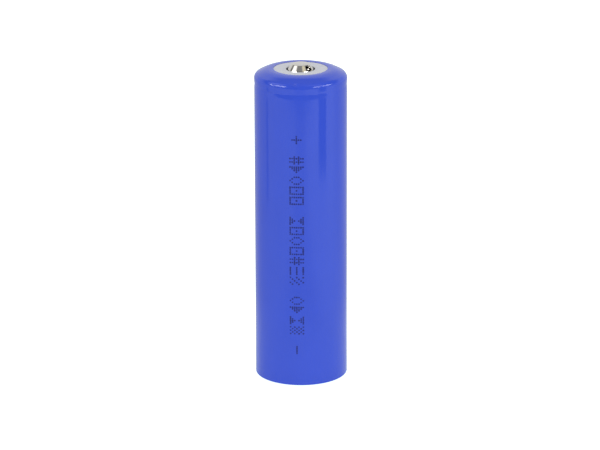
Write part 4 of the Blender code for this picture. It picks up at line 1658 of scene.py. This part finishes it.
@dataclass
class ProtectionBoard:
    """The round board under the can, its chips, its pads, and the ring and paper over it."""

    top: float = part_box("protection_board")[1][2]
    parts_z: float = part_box("sense_resistor")[0][2]
    pad_height: float = 0.025 * MM
    lead_wall: float = 0.1 * MM
    ring_r: float = 9.5 * MM
    chips: tuple[Chip, ...] = (
        Chip("switch_transistor_a", (-4.4 * MM, 3.3 * MM), (3.0 * MM, 4.4 * MM), 4, 0.65 * MM),
        Chip("switch_transistor_b", (-4.4 * MM, -3.3 * MM), (3.0 * MM, 4.4 * MM), 4, 0.65 * MM),
        Chip("protection_chip", (1.6 * MM, -5.4 * MM), (2.9 * MM, 1.6 * MM), 3, 0.95 * MM),
    )

    def chip(self, chip: Chip) -> None:
        """Makes a chip's body, with the dimple that marks its first lead, and its bent leads.

        Args:
            chip: The chip to make.
        """
        (x, y), (width, depth) = chip.middle, chip.size
        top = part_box(chip.node)[1][2]
        low, high = (x - width / 2, y - depth / 2, self.parts_z), (x + width / 2, y + depth / 2, top)
        body = placed(f"{chip.node}_body", block(chip.node, low, high, 0.09 * MM), Finish.CHIP)
        dimple_at = (low[0] + 0.5 * MM, low[1] + 0.45 * MM, top)
        settle(dimpled(body, 0.22 * MM, dimple_at, 0.04 * MM), "chip_mould", chip.node)
        spots = [(at, side) for at in chip.lead_x() for side in (-1, 1)]
        places = [(at, y + side * depth / 2, 0) for at, side in spots]
        turns = [(0, 0, 0 if side > 0 else math.pi) for _, side in spots]
        seeds = scattered("lead_points", places, "turn", turns)
        foot, root = self.parts_z + 0.07 * MM, self.parts_z + 0.42 * MM
        bend = 0.1 * MM
        path = [(-0.1 * MM, root), (0.2 * MM, root, bend), (0.32 * MM, foot, bend), (chip.reach, foot)]
        mesh = strip("lead", rounded(path, steps=4), self.lead_wall, chip.pitch * 0.45, Lay.ALONG_Y)
        lead = placed("lead", mesh, Finish.TIN)
        tree = Recipe(f"{chip.node}_leads", {})
        shape = tree.node("GeometryNodeObjectInfo", None, {"Object": lead})
        leads = tree.put(shape.outputs["Geometry"], Rotation=tree.noted("turn"))
        piece = tree.bake(f"{chip.node}_leads", leads, Finish.TIN, seeds)
        bpy.data.objects.remove(lead, do_unlink=True)
        settle(piece, "nickel")

    def small_part(self, node: str, finish: Finish, cap_length: float) -> None:
        """Makes a chip resistor or capacitor, with a tinned cap on each end.

        Args:
            node: The CAD node that it stands for.
            finish: The finish of its body.
            cap_length: How far each tinned cap reaches in.
        """
        low, high = (Vector(corner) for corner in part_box(node))
        inset = Vector((0.02 * MM, 0.02 * MM, 0.02 * MM))
        body = placed(f"{node}_body", block(node, low + inset, high - inset, 0.04 * MM), finish)
        settle(body, "chip_ceramic", node)
        for name, start in (("left", low.x), ("right", high.x - cap_length)):
            ends = ((start, low.y, low.z), (start + cap_length, high.y, high.z))
            cap = placed(f"{node}_{name}_cap", block(name, *ends, 0.06 * MM), Finish.TIN)
            settle(cap, "nickel")

    def pads(self) -> list[tuple[float, float, float, float]]:
        """Every bare pad of the board: its middle and its size.

        Returns:
            An x, y, width and depth for each pad.
        """
        made = []
        for chip in self.chips:
            for at in chip.lead_x():
                for side in (-1, 1):
                    y = chip.middle[1] + side * (chip.size[1] / 2 + chip.reach - 0.25 * MM)
                    made.append((at, y, chip.pitch * 0.6, 0.75 * MM))
        for node, length in (("sense_resistor", 0.9 * MM), ("filter_capacitor", 0.6 * MM)):
            low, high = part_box(node)
            for x in (low[0], high[0]):
                made.append((x, (low[1] + high[1]) / 2, length, high[1] - low[1] + 0.2 * MM))
        made.append((6.4 * MM, 0, 2.4 * MM, 3.8 * MM))
        made.append((0, 9.1 * MM, 3.4 * MM, 1.1 * MM))
        return made

    def tracks(self) -> list[tuple[float, float, float, float]]:
        """Every covered copper track: its middle and its size.

        Returns:
            An x, y, width and depth for each track.
        """
        return [(x * MM, y * MM, width * MM, depth * MM) for x, y, width, depth in (
            (-4.4, 6.55, 3.2, 0.8), (-1.3, 6.6, 3.4, 0.7), (-4.4, -6.55, 3.2, 0.8), (-4.4, 0, 2.6, 0.9),
            (-1.4, -7.6, 5.2, 0.35), (4.2, 5.4, 1.6, 1.5), (5.2, 3.3, 0.8, 3.2), (3.3, -1.6, 2.4, 0.35),
            (-0.9, -1.6, 2.4, 0.35), (-2.1, -3.6, 0.35, 3.8), (1.6, -3.0, 0.35, 2.0), (5.4, -3.6, 0.35, 3.6),
            (4.1, -5.6, 2.4, 0.35), (0, 7.9, 1.6, 1.6),
        )]

    def copper(self, name: str, plates: list, finish: Finish, slot: str, height: float) -> None:
        """Lays one row of thin plates on the board.

        Args:
            name: The piece's name.
            plates: Each plate's middle and size.
            finish: Its finish.
            slot: Its material slot.
            height: How thick the plates are.
        """
        places = [(x, y, self.top + height / 2) for x, y, _, _ in plates]
        sizes = [(width, depth, height) for _, _, width, depth in plates]
        tree = Recipe(name, {})
        plate = tree.node("GeometryNodeMeshCube", None, {"Size": (1, 1, 1)})
        copper = tree.put(plate.outputs[0], Scale=tree.noted("extent"))
        settle(tree.bake(name, copper, finish, scattered(name, places, "extent", sizes)), slot)

    def build(self) -> None:
        """Makes the board and all that is on it."""
        board = ring("round_board", "protection_board", 0, 0.05 * MM, Finish.LAMINATE)
        settle(board, "board_laminate", "protection_board")
        self.copper("bare_pads", self.pads(), Finish.GOLD, "nickel", self.pad_height)
        height = 0.6 * self.pad_height
        self.copper("covered_tracks", self.tracks(), Finish.LAMINATE, "board_laminate", height)
        for chip in self.chips:
            self.chip(chip)
        self.small_part("sense_resistor", Finish.RESISTOR, 0.5 * MM)
        self.small_part("filter_capacitor", Finish.CERAMIC, 0.35 * MM)
        _, bottom, top = extent("board_spacer_ring")
        spacer = ring("board_ring", "board_spacer_ring", self.ring_r, 0.08 * MM, Finish.POLYMER)
        low, high = (-1.8 * MM, 9 * MM, bottom - MM), (1.8 * MM, 11 * MM, top + MM)
        settle(notched(spacer, low, high), "polymer", "board_spacer_ring")
        _, bottom, top = extent("board_insulator")
        paper = ring("board_paper", "board_insulator", 0, 0.02 * MM, Finish.FISH_PAPER)
        low, high = (4.7 * MM, -1.8 * MM, bottom - MM), (5.3 * MM, 1.8 * MM, top + MM)
        settle(notched(paper, low, high), "fish_paper", "board_insulator")


# ---------------------------------------------------------------- studio


@dataclass(frozen=True)
class Card:
    """A dark card on the floor: its edges to the right of the front, its distance, top and grey."""

    name: str
    start_deg: float
    end_deg: float
    distance: float
    top: float
    gray: float
    bow: float = 0.0


@dataclass(frozen=True)
class Lamp:
    """A soft box that faces the cell: where it hangs, its width and height in metres, its watts."""

    name: str
    azimuth_deg: float
    elevation_deg: float
    size: Point
    power: float


def toward(azimuth_deg: float, elevation_deg: float) -> Vector:
    """The direction some degrees to the right of the front and above the floor."""
    turn, rise = math.radians(azimuth_deg), math.radians(elevation_deg)
    return Vector((math.sin(turn) * math.cos(rise), -math.cos(turn) * math.cos(rise), math.sin(rise)))


@dataclass
class Studio:
    """The pale floor, the soft lights, the dark cards that shape the gloss, and the camera."""

    aim_z: float = 36.08 * MM
    aim_x: float = -0.236 * MM
    pitch_deg: float = 17.457
    roll_deg: float = 0.165
    distance: float = 800 * MM
    lens: float = 205.75
    lamp_distance: float = 800 * MM
    lamp_aim_z: float = 50 * MM
    cards: tuple[Card, ...] = (
        Card("front_card", -66, 66, 250 * MM, 90 * MM, 0.04, 26 * MM),
        Card("right_card", 44, 64, 180 * MM, 30 * MM, 0.03),
        Card("left_card", -92, -86, 150 * MM, 30 * MM, 0.25),
    )
    lamps: tuple[Lamp, ...] = (
        Lamp("left_box", -60, 20, (0.62, 0.2), 3.8),
        Lamp("right_box", 57, 20, (0.75, 0.18), 3.4),
    )

    def staged(self, name: str, shape: bmesh.types.BMesh, material: bpy.types.Material) -> bpy.types.Object:
        """Stands a shape in the studio, apart from the cell.

        Args:
            name: The object's name.
            shape: Its shape, which is freed.
            material: Its material.

        Returns:
            The new object.
        """
        mesh = finished(name, shape)
        mesh.materials.append(material)
        made = bpy.data.objects.new(name, mesh)
        bpy.context.scene.collection.objects.link(made)
        return made

    def floor(self) -> None:
        """Makes the floor, self-lit so that it stays pale to its edges. Its glow is painted light, set by
        place: brighter round the cell's foot to light its lower side, brighter in front and most of all to
        the right, and dim in a band straight in front, for the sleeve's reflections; camera rays see it much
        brighter, which paints out the cell's shadow.
        """
        look = Shading("pale_floor")
        tone = look.mixed(look.noise(60 * MM, 2.0), (0.59, 0.59, 0.59, 1), (0.61, 0.61, 0.61, 1))
        camera_ray_whitening = look.term("ShaderNodeLightPath", None, None, "Is Camera Ray")
        across, along, _ = look.axes(look.place)
        side, middle = across.ramp(-0.2, 0.2), 1 - (across * across).ramp(0, 0.004)
        front = 1 - along.ramp(-0.05, 0.05)
        glow_near_foot = 1 - (across * across + along * along).ramp(0.0006, 0.005)
        # Painted light: camera rays see the floor far brighter, which paints out the cell's shadow, and the
        # glow is brighter round the foot and in front to the right, and dim straight in front.
        level = camera_ray_whitening * 0.9 + front * (side * 0.25 - middle * 0.34 + 0.22) + glow_near_foot * 0.25 + 0.13
        painted_glow = look.mixed(level, (0, 0, 0, 1), (0.86, 1.0, 0.98, 1))
        paper = look.surface(Base_Color=tone, Roughness=0.9, Emission_Color=painted_glow, Emission_Strength=1.0)
        shape = bmesh.new()
        bmesh.ops.create_grid(shape, x_segments=8, y_segments=8, size=3.0)
        self.staged("floor", shape, paper)

    def card(self, card: Card) -> None:
        """Stands a dark card on the floor, bowed up at its ends, that only reflections show.

        Args:
            card: The card to stand.
        """
        look = Shading(card.name)
        color = (card.gray, card.gray, card.gray * 1.05, 1)
        painted_glow = look.node("ShaderNodeEmission", None, {"Color": color, "Strength": 1.0})
        look.node("ShaderNodeOutputMaterial", None, {"Surface": painted_glow.outputs[0]})
        shape = bmesh.new()
        steps = max(2, int(abs(card.end_deg - card.start_deg) / 4))
        edge = []
        for i in range(steps + 1):
            angle = math.radians(card.start_deg + (card.end_deg - card.start_deg) * i / steps)
            x, y = card.distance * math.sin(angle), -card.distance * math.cos(angle)
            foot = 0.5 * MM + card.bow * (2 * i / steps - 1) ** 2
            edge.append((shape.verts.new((x, y, foot)), shape.verts.new((x, y, card.top))))
        for (low, high), (next_low, next_high) in zip(edge, edge[1:]):
            shape.faces.new((low, next_low, next_high, high))
        stood = self.staged(card.name, shape, look.material)
        for kind in ("camera", "diffuse", "shadow", "transmission", "volume_scatter"):
            setattr(stood, f"visible_{kind}", False)

    def lamp(self, lamp: Lamp) -> None:
        """Hangs a soft box that faces the cell, for its highlights only.

        Args:
            lamp: The lamp to hang.
        """
        data = bpy.data.lights.new(lamp.name, "AREA")
        data.shape = "RECTANGLE"
        data.size, data.size_y = lamp.size
        data.energy = lamp.power
        hung = bpy.data.objects.new(lamp.name, data)
        way = toward(lamp.azimuth_deg, lamp.elevation_deg)
        hung.location = Vector((0, 0, self.lamp_aim_z)) + way * self.lamp_distance
        hung.rotation_euler = way.to_track_quat("Z", "Y").to_euler()
        hung.visible_camera = False
        hung.visible_diffuse = False
        bpy.context.scene.collection.objects.link(hung)

    @staticmethod
    def patch(sky: Graph, way: bpy.types.NodeSocket, aim: Vector, inner_deg: float, outer_deg: float) -> Term:
        """A soft round patch of the room: 1 near a direction, falling to 0 away from it."""
        dot = sky.term("ShaderNodeVectorMath", {"operation": "DOT_PRODUCT"}, {0: way, 1: aim}, "Value")
        return dot.ramp(math.cos(math.radians(outer_deg)), math.cos(math.radians(inner_deg)))

    def surroundings(self) -> None:
        """Lights the room evenly, and lets glossy faces see it darker in front and low down."""
        world = bpy.data.worlds.new("soft_room")
        world.use_nodes = True
        bpy.context.scene.world = world
        sky = Graph(world.node_tree)
        sky.tree.nodes.clear()
        way = sky.node("ShaderNodeTexCoord").outputs["Generated"]
        right, back, up = sky.axes(way)
        wall = (back - up * 0.8).ramp(-0.2, 0.2)
        left = self.patch(sky, way, toward(-76, 41), 8, 24)
        cream = self.patch(sky, way, toward(44, 49), 8, 18)
        gloss = wall * 0.8 + left * 1.5 + cream * 0.65 + up.ramp(0.45, 0.95) * 0.32 + 0.04
        even = 0.855 - back * 0.36 + right * 0.1
        path = sky.node("ShaderNodeLightPath")
        is_gloss, is_camera = (Term(sky, path.outputs[key]) for key in ("Is Glossy Ray", "Is Camera Ray"))
        level = is_gloss * gloss + (1 - is_gloss) * even
        level = is_camera * 1.05 + (1 - is_camera) * level
        tint = sky.mixed(cream, (1, 1, 1, 1), (1, 0.93, 0.7, 1))
        shine = sky.node("ShaderNodeBackground", None, {"Color": tint, "Strength": level})
        sky.node("ShaderNodeOutputWorld", None, {"Surface": shine.outputs[0]})

    def camera(self) -> None:
        """Sets the camera at its long lens, looking down at the front."""
        data = bpy.data.cameras.new("camera")
        data.lens = self.lens
        data.clip_start, data.clip_end = 0.05, 20
        camera = bpy.data.objects.new("camera", data)
        pitch = math.radians(self.pitch_deg)
        way = Vector((0, -math.cos(pitch), math.sin(pitch)))
        camera.location = Vector((self.aim_x, 0, self.aim_z)) + way * self.distance
        lean = Matrix.Rotation(math.pi / 2 - pitch, 3, "X")
        roll = Matrix.Rotation(math.radians(-self.roll_deg), 3, "Z")
        camera.rotation_euler = (lean @ roll).to_euler()
        bpy.context.scene.collection.objects.link(camera)
        bpy.context.scene.camera = camera

    def build(self) -> None:
        """Sets up the whole studio."""
        self.camera()
        self.floor()
        for card in self.cards:
            self.card(card)
        for lamp in self.lamps:
            self.lamp(lamp)
        self.surroundings()
        bpy.context.scene.view_settings.view_transform = "Standard"


def main() -> None:
    """Builds the studio and then every sub-assembly in order."""
    logging.basicConfig(level=logging.INFO, format="%(message)s")
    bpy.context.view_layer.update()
    Studio().build()
    for assembly in (Sleeve(), Print(), TopEnd(), CrimpedCan(), SafetyCap(), Winding(), Conductors(),
                     ProtectionBoard(), BottomEnd()):
        log.info("-- %s", type(assembly).__name__)
        assembly.build()


if __name__ == "__main__":
    main()
